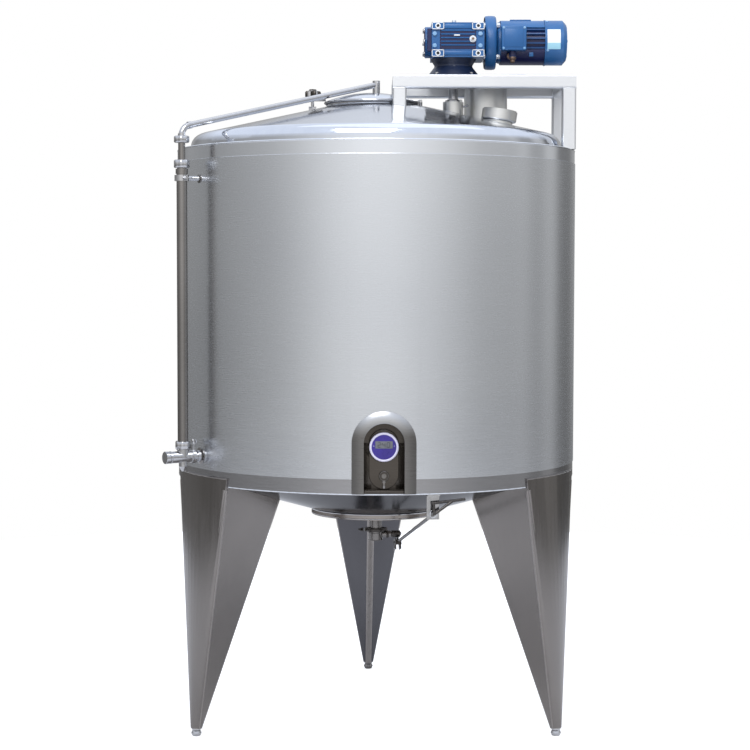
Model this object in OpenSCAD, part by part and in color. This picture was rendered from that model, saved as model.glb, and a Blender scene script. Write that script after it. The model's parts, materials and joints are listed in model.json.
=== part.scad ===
// Upright insulated tank on three folded legs, with a worm gear drive on a tube
// stand, a spray cleaning pipe, a thermometer pocket and a pull-rod bottom valve.
// Origin: on the floor under the tank's axis. The front, with the pocket, faces -Y.

/* [Tank] */
// Radius of the outer cladding
wall_r = 750; // [740:5:790]
// Thickness of the insulated jacket with both of its sheets
jacket_t = 52; // [44:2:60]
// Thickness of the stainless sheet
sheet_t = 4; // [3:1:5]
// Height of the lower band's bottom edge over the floor
bottom_z = 925; // [880:5:970]
// Height of the wall with both bands
wall_h = 1215; // [1150:5:1300]
// Height of the band round the top
top_band_h = 50; // [40:5:60]
// Height of the band round the bottom
low_band_h = 55; // [45:5:65]
// How far the bands lie behind the cladding's face
band_inset = 2; // [1:1:3]

/* [Roof and bottom] */
// Slope of the roof cone in degrees
roof_slope = 13; // [10:1:15]
// Radius of the roof's rolled edge
knuckle_r = 45; // [35:5:55]
// Straight lip under the rolled edge
roof_lip = 15; // [10:1:20]
// Slope of the bottom cone in degrees
bottom_slope = 16.3; // [14:0.1:18]
// Radius of the ring in the middle of the bottom
sump_r = 245; // [225:5:260]
// Depth of that ring
sump_h = 22; // [18:1:30]

/* [Legs] */
// Direction of each leg round the tank, seen from above
leg_turns = [210.4, 330.4, 92.2];
// Half the angle that a leg covers on the wall
leg_half_turn = 15.2; // [13:0.1:17]
// How far a leg laps over the lower band
leg_lap = 32; // [25:1:40]
// How far a leg reaches in under the bottom from the vessel's edge
leg_reach = 326; // [300:2:350]
// Radius of that rounded inner edge
leg_edge_r = 16; // [12:1:20]
// How far each foot's centre stands out past the cladding
foot_out = 7; // [-8:1:12]
// Radius of a leg's lower end
leg_end_r = 21; // [19:1:24]
// Height of a leg's lower end over the floor
leg_end_z = 30; // [28:1:40]
// Radius of the foot's ball
foot_ball_r = 19; // [16:1:21]

/* [Stand] */
// Side of the square tube
tube_w = 50; // [44:1:52]
// Wall of the square tube
tube_t = 3; // [2:0.5:4]
// Rounding of the tube's edges
tube_round = 7; // [4:1:9]
// Centre of the inner pair of posts
post_in_x = 85; // [80:1:95]
// How far the outer posts' centre lies in from the cladding
post_edge = 42; // [38:1:50]
// Centre of the posts beside the middle
post_y = 190; // [186:1:196]
// Height of the stand's top over the rim
stand_h = 272; // [270:1:290]
// Thickness of the deck plate
deck_t = 12; // [8:1:16]
// Left edge of the deck plate
deck_x = 200; // [190:2:210]

/* [Drive] */
// Centre of the upright output shaft
shaft_x = 291; // [286:1:296]
// Radius of the output shaft
shaft_r = 18; // [15:1:20]
// Width of the gear housing
gear_w = 196; // [186:2:200]
// Depth of the gear housing
gear_d = 190; // [170:2:200]
// Height of the gear housing
gear_h = 128; // [120:2:140]
// Height of the flanged foot under the gear housing
gear_foot_h = 76; // [70:1:84]
// Radius of the foot's flange
gear_foot_r = 98; // [92:1:104]
// Distance of the worm and motor behind the output shaft
worm_y = 50; // [40:2:60]
// Radius of the motor's flange
motor_flange_r = 100; // [95:1:105]
// Radius over the motor's fins
motor_r = 82; // [76:1:88]
// Length of the finned motor body
motor_l = 167; // [150:1:180]
// Length of the fan cowl
cowl_l = 84; // [70:1:95]

/* [Manway] */
// Radius of the lid
lid_r = 177; // [165:1:178]
// Lid's centre beside the axis
lid_x = -17; // [-22:1:-15]
// Height of the domed top over its edge
lid_dome_h = 34; // [26:1:36]
// Height of the collar over the roof at the lid's edge
collar_h = 12; // [8:1:16]

/* [Nozzles] */
// Radius of the closed upright nozzle
vent_r = 82; // [76:1:84]
// Its centre
vent_xy = [418, 78];
// Radius of the low capped nozzle
cap_r = 66; // [60:1:68]
// Its centre
cap_xy = [459, -52];
// Height of the cap
cap_h = 44; // [40:1:50]

/* [Spray pipe] */
// Radius of the riser
riser_r = 19; // [16:1:21]
// Distance of the riser's centre from the cladding
riser_gap = 70; // [65:1:85]
// Direction of the riser round the tank
riser_turn = 212.6; // [211.5:0.1:214]
// Radius of the pipe over the roof
roof_pipe_r = 11; // [9:1:12]

/* [Thermometer pocket] */
// Width of the pocket's frame
pocket_w = 222; // [210:2:230]
// Height of the pocket's frame
pocket_h = 284; // [270:2:300]
// Breadth of the frame round the opening
pocket_rim = 41; // [36:1:44]
// Pocket's direction round the tank
pocket_turn = 272.1; // [270:0.1:274]
// Radius of the dial
dial_r = 50; // [46:1:54]

/* [Outlet and valve] */
// Radius of the outlet tube
outlet_r = 24; // [22:1:26]
// Radius of the valve body
valve_r = 27; // [25:1:30]
// Arm of the valve lever
lever_arm = 45; // [42:1:48]
// Radius of the pull rod
rod_r = 6; // [5:0.5:7]
// Direction of the valve's stem round the tank
rod_turn = 8.7; // [5:0.1:12]
// How far the rod's bush lies in from the lower band
bush_in = 29.3; // [26:0.1:40]
// How far the bush hangs under the wall
bush_drop = 72.5; // [65:0.5:80]

/* [Hidden] */
$fn = 96;
gap = 0.3;
bore_gap = 0.05;
vessel_r = wall_r - jacket_t;
leg_inner_r = vessel_r - leg_reach;
foot_r = wall_r + foot_out;
post_out_x = wall_r - post_edge;
riser_out = wall_r + riser_gap;
rim_z = bottom_z + wall_h;
band_r = wall_r - band_inset;
clad_low_z = bottom_z + low_band_h;
clad_top_z = rim_z - top_band_h;
knuckle_x = vessel_r - knuckle_r;
knuckle_z = rim_z + roof_lip;
touch_x = knuckle_x + knuckle_r * sin(roof_slope);
apex_z = knuckle_z + knuckle_r * cos(roof_slope) + touch_x * tan(roof_slope);
bottom_t = sheet_t / cos(bottom_slope);
stand_z = rim_z + stand_h;
beam_z = stand_z - tube_w;
gear_z = stand_z + gear_foot_h;
gear_x = 304;
motor_z = gear_z + 69;

// Height of the roof's outside at a distance from the axis
function roof_at(r) = apex_z - r * tan(roof_slope);
// Height of the bottom cone's outside
function cone_at(r) = bottom_z - (vessel_r - r) * tan(bottom_slope);
// Point on the plan at a distance and direction
function round_at(r, a) = [r * cos(a), r * sin(a)];

collar_r = lid_r - 9;
collar_t = 6;
collar_z = roof_at(lid_r - lid_x) + collar_h;
lid_edge_t = 8;
dome_r = (lid_r * lid_r + lid_dome_h * lid_dome_h) / (2 * lid_dome_h);

// Outline of a cone with a rolled edge, from the axis out
module head_outline(r, knuckle, top_drop) {
    union() {
        polygon([[0, rim_z], [r, rim_z], [r, knuckle_z],
            [knuckle_x + knuckle * sin(roof_slope), knuckle_z + knuckle * cos(roof_slope)],
            [0, apex_z - top_drop]]);
        intersection() {
            translate([knuckle_x, knuckle_z]) circle(r = knuckle);
            translate([0, rim_z]) square([r, knuckle + roof_lip]);
        }
    }
}

// Everything under the roof's outside, to cut pieces that stand on it
module under_roof() {
    rotate_extrude() head_outline(vessel_r + gap, knuckle_r + gap, -gap);
}

// Everything over the bottom's outside, to cut pieces that meet it from below
module over_bottom() {
    inner = leg_inner_r - 100;
    rotate_extrude() polygon([[0, bottom_z + 1], [vessel_r + 1, bottom_z + 1],
        [vessel_r + 1, bottom_z - gap], [inner, cone_at(inner) - gap], [0, cone_at(inner) - gap]]);
}

module ring(outer, inner, z0, z1) {
    translate([0, 0, z0]) difference() {
        cylinder(r = outer, h = z1 - z0);
        translate([0, 0, -1]) cylinder(r = inner, h = z1 - z0 + 2);
    }
}

module arch(w, h, depth) {
    translate([0, depth / 2, 0]) rotate([90, 0, 0]) linear_extrude(depth) union() {
        translate([-w / 2, 0]) square([w, h - w / 2]);
        translate([0, h - w / 2]) circle(r = w / 2);
    }
}

// Solid wedge of the wall that the pocket's arch covers, between two radii
module pocket_arch(w, h, z0, outer, inner) {
    intersection() {
        rotate([0, 0, pocket_turn - 270]) translate([0, -(outer + inner) / 2, z0])
            arch(w, h, 2 * (outer - inner) + 60);
        translate([0, 0, z0 - 1]) difference() {
            cylinder(r = outer, h = h + 2);
            translate([0, 0, -1]) cylinder(r = inner, h = h + 4);
        }
    }
}

pocket_z = bottom_z + sheet_t + 1;
open_w = pocket_w - 2 * pocket_rim;
sill_h = 14;
open_h = pocket_h - pocket_rim - sill_h;
frame_out = wall_r + 4;
frame_in = wall_r - 8;
liner_t = 2.5;
liner_in = vessel_r + 6;
dial_drop = 13;
knob_drop = 99;
dial_z = pocket_z + pocket_h - pocket_rim - open_w / 2 - dial_drop;
knob_z = dial_z - knob_drop;

module pocket_hole() {
    pocket_arch(pocket_w + 2 * gap, pocket_h + 2 * gap, pocket_z - gap, wall_r + 5, wall_r - 20);
}

module outer_wall() {
    color("lightsteelblue") difference() {
        ring(wall_r, wall_r - sheet_t, clad_low_z, clad_top_z);
        pocket_hole();
    }
}

module inner_vessel() {
    color("silver") ring(vessel_r, vessel_r - sheet_t, bottom_z, rim_z);
}

module top_band() {
    color("lightgrey") rotate_extrude() polygon([
        [band_r - sheet_t, clad_top_z], [band_r, clad_top_z], [band_r, rim_z],
        [vessel_r + gap, rim_z], [vessel_r + gap, rim_z - sheet_t], [band_r - sheet_t, rim_z - sheet_t]]);
}

module bottom_band() {
    color("lightgrey") difference() {
        rotate_extrude() polygon([
            [band_r - sheet_t, clad_low_z], [band_r, clad_low_z], [band_r, bottom_z],
            [vessel_r + gap, bottom_z], [vessel_r + gap, bottom_z + sheet_t],
            [band_r - sheet_t, bottom_z + sheet_t]]);
        pocket_hole();
    }
}

// The roof is open under the manway's lid
module roof_cone() {
    color("gainsboro") difference() {
        rotate_extrude() difference() {
            head_outline(vessel_r, knuckle_r, 0);
            difference() {
                head_outline(vessel_r - sheet_t, knuckle_r - sheet_t, sheet_t / cos(roof_slope));
                translate([-1, rim_z - 1]) square([vessel_r, 1]);
            }
            translate([-1, rim_z - 1]) square([vessel_r - sheet_t + 1, 2]);
        }
        translate([lid_x, 0, rim_z]) cylinder(r = collar_r - collar_t, h = apex_z);
    }
}

module bottom_cone() {
    color("darkgrey") rotate_extrude() polygon([
        [vessel_r, bottom_z], [sump_r - sheet_t, cone_at(sump_r - sheet_t)],
        [sump_r - sheet_t, cone_at(sump_r - sheet_t) + bottom_t],
        [vessel_r - bottom_t / tan(bottom_slope), bottom_z]]);
}

sump_z = cone_at(sump_r) - sump_h;

module bottom_sump() {
    color("gainsboro") rotate_extrude() polygon([
        [outlet_r, sump_z], [sump_r, sump_z], [sump_r, cone_at(sump_r)],
        [sump_r - sheet_t, cone_at(sump_r - sheet_t)], [sump_r - sheet_t, sump_z + sheet_t],
        [outlet_r, sump_z + sheet_t]]);
}

// Plan of a leg at its upper end: the wall's curve outside, a rounded edge inside
module leg_plan() {
    out = band_r + 6;
    union() {
        for (a = [-leg_half_turn : leg_half_turn / 4 : leg_half_turn])
            translate(round_at(out - 1, a)) circle(r = 1, $fn = 16);
        translate([leg_inner_r + leg_edge_r, 0]) circle(r = leg_edge_r, $fn = 32);
    }
}

leg_top_z = bottom_z + leg_lap;

module leg(turn) {
    color("rosybrown") difference() {
        rotate([0, 0, turn]) hull() {
            translate([0, 0, leg_top_z - 1]) linear_extrude(1) leg_plan();
            translate([foot_r, 0, leg_end_z]) cylinder(r = leg_end_r, h = 1, $fn = 48);
        }
        translate([0, 0, bottom_z - gap]) cylinder(r = band_r + gap, h = leg_lap + 10);
        over_bottom();
    }
}

module leg_left() { leg(leg_turns[0]); }
module leg_right() { leg(leg_turns[1]); }
module leg_back() { leg(leg_turns[2]); }

module foot(turn) {
    ball_h = 22;
    color("dimgray") rotate([0, 0, turn]) translate([foot_r, 0, 0]) rotate_extrude() union() {
        polygon([[0, 0], [13, 0], [16, ball_h * 0.15], [foot_ball_r, ball_h / 2], [16, ball_h * 0.85],
            [13, ball_h], [13, leg_end_z], [0, leg_end_z]]);
    }
}

module foot_left() { foot(leg_turns[0]); }
module foot_right() { foot(leg_turns[1]); }
module foot_back() { foot(leg_turns[2]); }

// Square tube's outline with rounded edges
module tube_outline() {
    in = tube_w / 2 - tube_round;
    union() {
        square([tube_w, 2 * in], center = true);
        square([2 * in, tube_w], center = true);
        for (x = [-in, in], y = [-in, in]) translate([x, y]) circle(r = tube_round);
    }
}

module tube_section() {
    difference() {
        tube_outline();
        square(tube_w - 2 * tube_t, center = true);
    }
}

module post(x, y) {
    foot_z = rim_z - 20;
    color("whitesmoke") difference() {
        translate([x, y, foot_z]) linear_extrude(beam_z - foot_z) tube_section();
        under_roof();
        translate([0, 0, foot_z - 1]) cylinder(r = wall_r + 40, h = rim_z - foot_z + 1);
    }
}

module post_front_left() { post(post_in_x, -post_y); }
module post_front_right() { post(post_out_x, -post_y); }
module post_back_left() { post(post_in_x, post_y); }
module post_back_right() { post(post_out_x, post_y); }

// The beams' ends are closed with welded caps
module beam(y) {
    beam_l = post_out_x - post_in_x + tube_w;
    color("whitesmoke") translate([post_in_x - tube_w / 2, y, beam_z + tube_w / 2])
        rotate([90, 0, 90]) difference() {
            linear_extrude(beam_l) tube_outline();
            translate([0, 0, tube_t]) linear_extrude(beam_l - 2 * tube_t)
                square(tube_w - 2 * tube_t, center = true);
        }
}

module beam_front() { beam(-post_y); }
module beam_back() { beam(post_y); }

module rail(x) {
    color("whitesmoke") translate([x, post_y - tube_w / 2, beam_z + tube_w / 2])
        rotate([90, 0, 0]) linear_extrude(2 * post_y - tube_w) tube_section();
}

module rail_left() { rail(post_in_x); }
module rail_right() { rail(post_out_x); }

module deck_plate() {
    half = post_y - tube_w / 2;
    color("gray") difference() {
        translate([deck_x, -half, stand_z - deck_t])
            cube([post_out_x - tube_w / 2 - deck_x, 2 * half, deck_t]);
        translate([shaft_x, 0, stand_z - deck_t - 1]) cylinder(r = shaft_r + 12, h = deck_t + 2);
    }
}

gear_foot_t = 14;
neck_r = 72;

module gear_foot() {
    color("midnightblue") translate([shaft_x, 0, stand_z]) rotate_extrude() polygon([
        [shaft_r + bore_gap, 0], [gear_foot_r, 0], [gear_foot_r, gear_foot_t],
        [neck_r, gear_foot_h * 0.62], [neck_r, gear_foot_h * 0.7], [neck_r + 14, gear_foot_h],
        [shaft_r + bore_gap, gear_foot_h]]);
}

pad_w = 46;
pad_h = 27;
pad_out = 8;

module gear_housing() {
    rib = 9.5;
    cut_l = gear_w - 2 * 30;
    color("royalblue") difference() {
        union() {
            translate([gear_x - gear_w / 2, -gear_d / 2, gear_z]) cube([gear_w, gear_d, gear_h]);
            for (y = [-1, 1], x = [-1, 1], z = [0, 1])
                translate([gear_x + x * (gear_w - pad_w) / 2 - pad_w / 2,
                    y > 0 ? gear_d / 2 : -gear_d / 2 - pad_out,
                    gear_z + z * (gear_h - pad_h)])
                    cube([pad_w, pad_out, pad_h]);
            translate([gear_x - gear_w / 2 - 22, 0, gear_z + gear_h / 2])
                rotate([0, 90, 0]) cylinder(r = gear_h / 2 - 6, h = 23);
        }
        for (y = [-1, 1], z = [pad_h + 5 : rib : gear_h - pad_h - 7])
            translate([gear_x - cut_l / 2, y * gear_d / 2 - 6, gear_z + z]) cube([cut_l, 12, rib / 2]);
        for (y = [-1, 1], x = [-1, 1], z = [0, 1])
            translate([gear_x + x * (gear_w - pad_w) / 2, y * gear_d / 2,
                gear_z + pad_h / 2 + z * (gear_h - pad_h)])
                rotate([90, 0, 0]) cylinder(r = 5.5, h = 50, center = true);
    }
}

adapter_l = 66;
flange_back = 8;
flange_front = 50;
flange_edge = 4;
spigot_r = 62;
flange_x = gear_x + gear_w / 2;
body_x = flange_x + adapter_l;

module motor_flange() {
    color("cornflowerblue") translate([flange_x, worm_y, motor_z]) rotate([0, 90, 0])
        rotate_extrude() polygon([[0, 0], [spigot_r, 0], [spigot_r, flange_back],
            [motor_flange_r - flange_edge, flange_back], [motor_flange_r, flange_back + flange_edge],
            [motor_flange_r, flange_front - flange_edge], [motor_flange_r - flange_edge, flange_front],
            [spigot_r + flange_edge, flange_front], [spigot_r, adapter_l], [0, adapter_l]]);
}

module motor_body() {
    fins = 28;
    color("royalblue") translate([body_x, worm_y, motor_z]) rotate([0, 90, 0]) union() {
        cylinder(r = motor_r - 12, h = motor_l);
        intersection() {
            for (k = [0 : fins - 1]) rotate([0, 0, (k + 0.5) * 360 / fins])
                translate([0, -2.5, 0]) cube([motor_r, 5, motor_l]);
            cylinder(r = motor_r, h = motor_l);
        }
        cylinder(r = motor_r - 2, h = 10);
    }
}

box_w = 90;
box_h = 88;

module terminal_box() {
    color("cornflowerblue") difference() {
        union() {
            translate([body_x + 1, worm_y - motor_r - 38, motor_z - 40])
                cube([box_w, 80, box_h]);
            translate([body_x + 43, worm_y - motor_r - 12, motor_z - 62]) cylinder(r = 13, h = 25);
        }
        translate([body_x - 1, worm_y, motor_z]) rotate([0, 90, 0]) cylinder(r = motor_r + gap, h = motor_l);
    }
}

module fan_cowl() {
    color("steelblue") translate([body_x + motor_l, worm_y, motor_z]) rotate([0, 90, 0])
        rotate_extrude() polygon([[0, 0], [motor_r + 2, 0], [motor_r + 2, cowl_l - 14],
            [motor_r - 14, cowl_l], [0, cowl_l]]);
}

seal_h = 52;
seal_r = 39;
seal_z = roof_at(shaft_x) - 8;

module seal_housing() {
    color("silver") difference() {
        union() {
            translate([shaft_x, 0, seal_z - 20]) cylinder(r = seal_r, h = seal_h + 20);
            translate([shaft_x + 28, -24, seal_z + seal_h - 4]) cylinder(r = 5, h = 12);
        }
        under_roof();
        translate([shaft_x, 0, seal_z - 21]) cylinder(r = shaft_r + bore_gap, h = seal_h + 30);
    }
}

module output_shaft() {
    z0 = roof_at(shaft_x - shaft_r) + 2;
    color("lightgray") translate([shaft_x, 0, z0]) cylinder(r = shaft_r, h = gear_z - z0 - 4);
}

module vent_nozzle() {
    color("lightgray") difference() {
        translate([vent_xy.x, vent_xy.y, rim_z]) cylinder(r = vent_r, h = stand_z - deck_t - 10 - rim_z);
        under_roof();
    }
}

cap_tilt = 8;
cap_low = roof_at(norm(cap_xy)) + 8;

module capped_nozzle() {
    color("lightgray") difference() {
        union() {
            translate([cap_xy.x, cap_xy.y, cap_low]) rotate([0, cap_tilt, 0]) rotate_extrude() union() {
                square([cap_r - 8, cap_h]);
                translate([0, 8]) square([cap_r, cap_h - 12]);
                translate([cap_r - 8, 8]) circle(r = 8);
                translate([cap_r - 8, cap_h - 4]) square([4, 4]);
            }
            translate([cap_xy.x, cap_xy.y, rim_z + 20]) cylinder(r = cap_r - 14, h = cap_low - rim_z - 10);
        }
        under_roof();
        translate([vent_xy.x, vent_xy.y, rim_z]) cylinder(r = vent_r + gap, h = stand_h);
    }
}

module manway_collar() {
    color("dimgray") difference() {
        translate([lid_x, 0, 0]) ring(collar_r, collar_r - collar_t, rim_z + 100, collar_z);
        under_roof();
    }
}

// A dished sheet with a flat flange that seats on the collar
module manway_lid() {
    color("silver") translate([lid_x, 0, collar_z + gap]) difference() {
        union() {
            cylinder(r = lid_r, h = lid_edge_t);
            intersection() {
                translate([0, 0, lid_edge_t + lid_dome_h - dome_r]) sphere(r = dome_r);
                translate([0, 0, 1]) cylinder(r = lid_r - 2, h = lid_dome_h + lid_edge_t + 1);
            }
        }
        intersection() {
            translate([0, 0, lid_edge_t + lid_dome_h - dome_r]) sphere(r = dome_r - sheet_t);
            translate([0, 0, -1]) cylinder(r = collar_r - collar_t, h = lid_dome_h + lid_edge_t + 1);
        }
    }
}

clamp_x = -240;
clamp_y = -30;
knob_r = 20;

module lid_clamp() {
    strap_z = collar_z + lid_edge_t + 2;
    knob_low = strap_z + 13;
    color("gray") difference() {
        union() {
            translate([clamp_x, clamp_y, rim_z + 100]) cylinder(r = 6, h = knob_low - rim_z - 90);
            translate([clamp_x - 14, clamp_y - 9, rim_z + 100])
                cube([28, 18, roof_at(norm([clamp_x, clamp_y])) + 12 - rim_z - 100]);
            translate([clamp_x - 12, clamp_y - 10, strap_z])
                cube([lid_x - lid_r + 4 - clamp_x + 12, 20, 8]);
            translate([clamp_x, clamp_y, knob_low]) {
                cylinder(r = 16, h = 26);
                for (k = [0 : 4]) translate(concat(round_at(knob_r, k * 72 + 20), 4))
                    cylinder(r = 9, h = 18);
            }
        }
        under_roof();
    }
}

pipe_slope = roof_slope + 0.2;
bend_r = 40;
lid_top_z = collar_z + gap + lid_edge_t + lid_dome_h;
pipe_end_z = lid_top_z + 32;
bend_u = bend_r * (1 - sin(pipe_slope));
pipe_base_z = pipe_end_z - (riser_out - bend_u) * tan(pipe_slope) - bend_r * cos(pipe_slope);
stub_r = 14;
tee_z = bottom_z + 101;
tee_r = 21;

// Places its children on the riser's axis, with +X pointing away from the tank
module at_riser(z) {
    rotate([0, 0, riser_turn]) translate([riser_out, 0, z]) children();
}

module riser_pipe() {
    nut_r = riser_r + 6;
    low_z = tee_z + tee_r + 6;
    color("lightgray") at_riser(0) rotate_extrude() polygon([
        [0, low_z], [nut_r, low_z], [nut_r, low_z + 30], [riser_r, low_z + 30],
        [riser_r, rim_z - 105], [riser_r + 3, rim_z - 105], [riser_r + 3, rim_z - 88],
        [riser_r - 2, rim_z - 88], [riser_r - 2, rim_z - 84], [nut_r, rim_z - 84],
        [nut_r, rim_z - 56], [12.5, rim_z - 56], [12.5, pipe_base_z - 24],
        [nut_r - 1, pipe_base_z - 24], [nut_r - 1, pipe_base_z - 1], [0, pipe_base_z - 1]]);
}

module roof_pipe() {
    turn = 90 - pipe_slope;
    run = (riser_out - bend_u) / cos(pipe_slope);
    sleeve_r = roof_pipe_r + 2;
    color("lightgray") union() {
        rotate([0, 0, riser_turn + 180]) translate([-riser_out, 0, 0]) {
            translate([0, 0, pipe_base_z - 1]) cylinder(r = sleeve_r, h = 9);
            translate([bend_r, 0, pipe_base_z]) rotate([90, 0, 0]) intersection() {
                rotate_extrude() translate([bend_r, 0]) circle(r = roof_pipe_r);
                translate([0, 0, -bend_r]) linear_extrude(2 * bend_r)
                    polygon([[0, 0], [-3 * bend_r, 0], [-3 * bend_r, 3 * bend_r],
                        [-3 * bend_r * cos(turn), 3 * bend_r * sin(turn)]]);
            }
            translate([bend_u, 0, pipe_base_z + bend_r * cos(pipe_slope)]) rotate([0, turn, 0]) {
                translate([0, 0, -6]) cylinder(r = sleeve_r, h = 14);
                translate([0, 0, 3]) cylinder(r = roof_pipe_r, h = run - 3);
            }
        }
        difference() {
            translate([0, 0, lid_top_z - 6])
                cylinder(r = stub_r, h = pipe_end_z + roof_pipe_r + 10 - lid_top_z);
            translate([lid_x, 0, lid_top_z - dome_r]) sphere(r = dome_r + gap);
        }
    }
}

clamp_z = rim_z - 120;

module pipe_clamp() {
    half = 10.5;
    color("silver") at_riser(clamp_z) difference() {
        union() {
            translate([0, 0, -half]) cylinder(r = riser_r + 7, h = 2 * half);
            translate([-8, -30, -half]) cube([16, 60, 2 * half]);
            translate([wall_r + gap - riser_out, 0, 0]) rotate([0, 90, 0])
                cylinder(r = 8.5, h = riser_out - wall_r - riser_r - 2);
        }
        translate([0, 0, -half - 1]) cylinder(r = riser_r, h = 2 * half + 2);
    }
}

module lower_tee() {
    wall_x = wall_r + gap - riser_out;
    end_x = 68;
    color("lightgray") at_riser(tee_z) union() {
        translate([wall_x, 0, 0]) rotate([0, 90, 0]) cylinder(r = 16, h = end_x - wall_x);
        translate([wall_x, 0, 0]) rotate([0, 90, 0]) cylinder(r = tee_r, h = 16);
        translate([wall_x + 26, 0, 0]) rotate([0, 90, 0]) cylinder(r = 25, h = 12);
        translate([wall_x + 28, -9, 20]) cube([8, 18, 22]);
        translate([-32, 0, 0]) rotate([0, 90, 0]) cylinder(r = tee_r, h = 88);
        translate([end_x - 10, 0, 0]) rotate([0, 90, 0]) cylinder(r = tee_r + 1, h = 10);
        translate([0, 0, -1]) cylinder(r = tee_r, h = tee_r + 7);
        rotate_extrude() polygon([[0, -52], [5, -52], [15, -34], [15, 0], [0, 0]]);
    }
}

module at_pocket(depth, z) {
    rotate([0, 0, pocket_turn - 270]) translate([0, -depth, z]) rotate([90, 0, 0]) children();
}

module pocket_frame() {
    color("dimgray") difference() {
        pocket_arch(pocket_w, pocket_h, pocket_z, frame_out, frame_in);
        pocket_arch(open_w, open_h, pocket_z + sill_h, frame_out + 5, frame_in - 5);
    }
}

module pocket_liner() {
    color("dimgray") difference() {
        pocket_arch(open_w + 2 * liner_t, open_h + 2 * liner_t, pocket_z + sill_h - liner_t,
            frame_in, liner_in);
        pocket_arch(open_w, open_h, pocket_z + sill_h, frame_in + 5, liner_in + 3);
    }
}

module dial_case() {
    depth = frame_in - liner_in - 7;
    color("mediumslateblue") at_pocket(liner_in + 3, dial_z) union() {
        cylinder(r = dial_r - 6, h = depth);
        translate([0, 0, depth - 14]) cylinder(r = dial_r, h = 14);
    }
}

module sample_knob() {
    color("silver") at_pocket(liner_in + 3, knob_z) union() {
        cylinder(r = 9, h = 30);
        translate([0, 0, 20]) cylinder(r = 17, h = 14);
    }
}

ferrule_r = 32;
ferrule_z = sump_z - 67;

module outlet_pipe() {
    color("lightgray") union() {
        ring(outlet_r, outlet_r - 2, ferrule_z, sump_z + sheet_t);
        ring(ferrule_r, outlet_r - 2, ferrule_z, ferrule_z + 4);
    }
}

module outlet_clamp() {
    color("silver") rotate([0, 0, rod_turn]) difference() {
        union() {
            translate([0, 0, ferrule_z - 6]) cylinder(r = ferrule_r + 7, h = 12);
            translate([-44, -8, ferrule_z - 6]) cube([88, 16, 12]);
        }
        translate([0, 0, ferrule_z - 7]) cylinder(r = ferrule_r, h = 14);
    }
}

lever_rest = -50;
hub_z = ferrule_z - 19;
bush_y = band_r - bush_in;
bush_z = bottom_z - bush_drop;
bush_l = norm([bush_y, bush_z - hub_z]);
rod_low = lever_arm * cos(lever_rest);
rod_rise = atan2(bush_z - hub_z, bush_y) + asin(rod_low / bush_l);
stem_r = 7;
lever_x = 88;
lever_t = 6;
pin_r = 4;

// Lever's pin beside the hub at a turn, in the plane across the stem
function pin_at(f) = [
    lever_arm * (-sin(rod_rise) * cos(f) - cos(rod_rise) * sin(f)),
    lever_arm * (-cos(rod_rise) * cos(f) + sin(rod_rise) * sin(f))];

module valve_body() {
    top = ferrule_z;
    color("silver") rotate([0, 0, rod_turn]) difference() {
        union() {
            translate([0, 0, top - 41]) cylinder(r = valve_r, h = 32);
            translate([0, 0, top - 10]) cylinder(r = outlet_r, h = 10);
            translate([0, 0, top - 4]) cylinder(r = ferrule_r, h = 4);
            translate([0, 0, hub_z]) rotate([0, 90, 0]) cylinder(r = 12, h = 58);
        }
        translate([0, 0, top - 42]) cylinder(r = outlet_r - 3, h = 14);
        translate([0, 0, top - 12]) cylinder(r = outlet_r - 3, h = 13);
        translate([34, 0, hub_z]) rotate([0, 90, 0]) cylinder(r = stem_r + bore_gap, h = 30);
    }
}

module valve_lever() {
    tip = pin_at(lever_rest);
    color("gray") rotate([0, 0, rod_turn]) union() {
        translate([35, 0, hub_z]) rotate([0, 90, 0]) cylinder(r = stem_r, h = 30);
        translate([60, 0, hub_z]) rotate([0, 90, 0]) cylinder(r = 13, h = lever_x + 6 - 60);
        translate([lever_x, 0, hub_z]) rotate([90 + atan2(tip.y, tip.x) - 90, 0, 0])
            translate([-lever_t / 2, 0, -5]) cube([lever_t, lever_arm, 10]);
        translate([lever_x - lever_t / 2, tip.x, hub_z + tip.y]) rotate([0, 90, 0])
            cylinder(r = 8, h = lever_t);
        translate([lever_x - 15, tip.x, hub_z + tip.y]) rotate([0, 90, 0]) cylinder(r = pin_r, h = 30);
    }
}

// Places its children at the lever's pin at rest: +Y along the rod, towards its
// handle, and +Z square to it, upwards
module at_rod() {
    tip = pin_at(lever_rest);
    rotate([0, 0, rod_turn]) translate([lever_x, tip.x, hub_z + tip.y]) rotate([-rod_rise, 0, 0])
        mirror([0, 1, 0]) children();
}

bracket_at = sqrt(bush_l * bush_l - rod_low * rod_low) - lever_arm * sin(lever_rest);
grip_at = bracket_at + 32;
clevis_l = 22;
ear_t = 5;
grip_r = 5;
slot_up = 6;
slot_down = 22;
slot_half = 7;

// A slotted clevis, the long bar, and a triangular grip of round bar
module pull_rod() {
    ear_in = lever_t / 2 + 4;
    half = ear_in + ear_t;
    color("lightgray") at_rod() union() {
        difference() {
            translate([-half, -slot_half - 7, -slot_down - 6])
                cube([2 * half, slot_half + 7 + clevis_l, slot_down + slot_up + 12]);
            translate([-ear_in, -slot_half - 8, -slot_down - 7])
                cube([2 * ear_in, slot_half + 9 + clevis_l, slot_down + slot_up + 14]);
            translate([-half - 1, -slot_half - 0.8, -slot_down])
                cube([2 * half + 2, 2 * slot_half, slot_down + slot_up]);
        }
        translate([-half, clevis_l - 3, -12]) cube([2 * half, 12, 19]);
        translate([0, clevis_l, 0]) rotate([-90, 0, 0]) cylinder(r = rod_r, h = grip_at - clevis_l);
        translate([0, grip_at - grip_r, 0]) {
            translate([0, 0, -6]) cylinder(r = grip_r, h = 46);
            translate([-6, 0, 36]) rotate([0, 84, 0]) cylinder(r = grip_r, h = 118);
            translate([0, 0, -2]) rotate([0, 56, 0]) cylinder(r = grip_r, h = 82);
        }
    }
}

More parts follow.
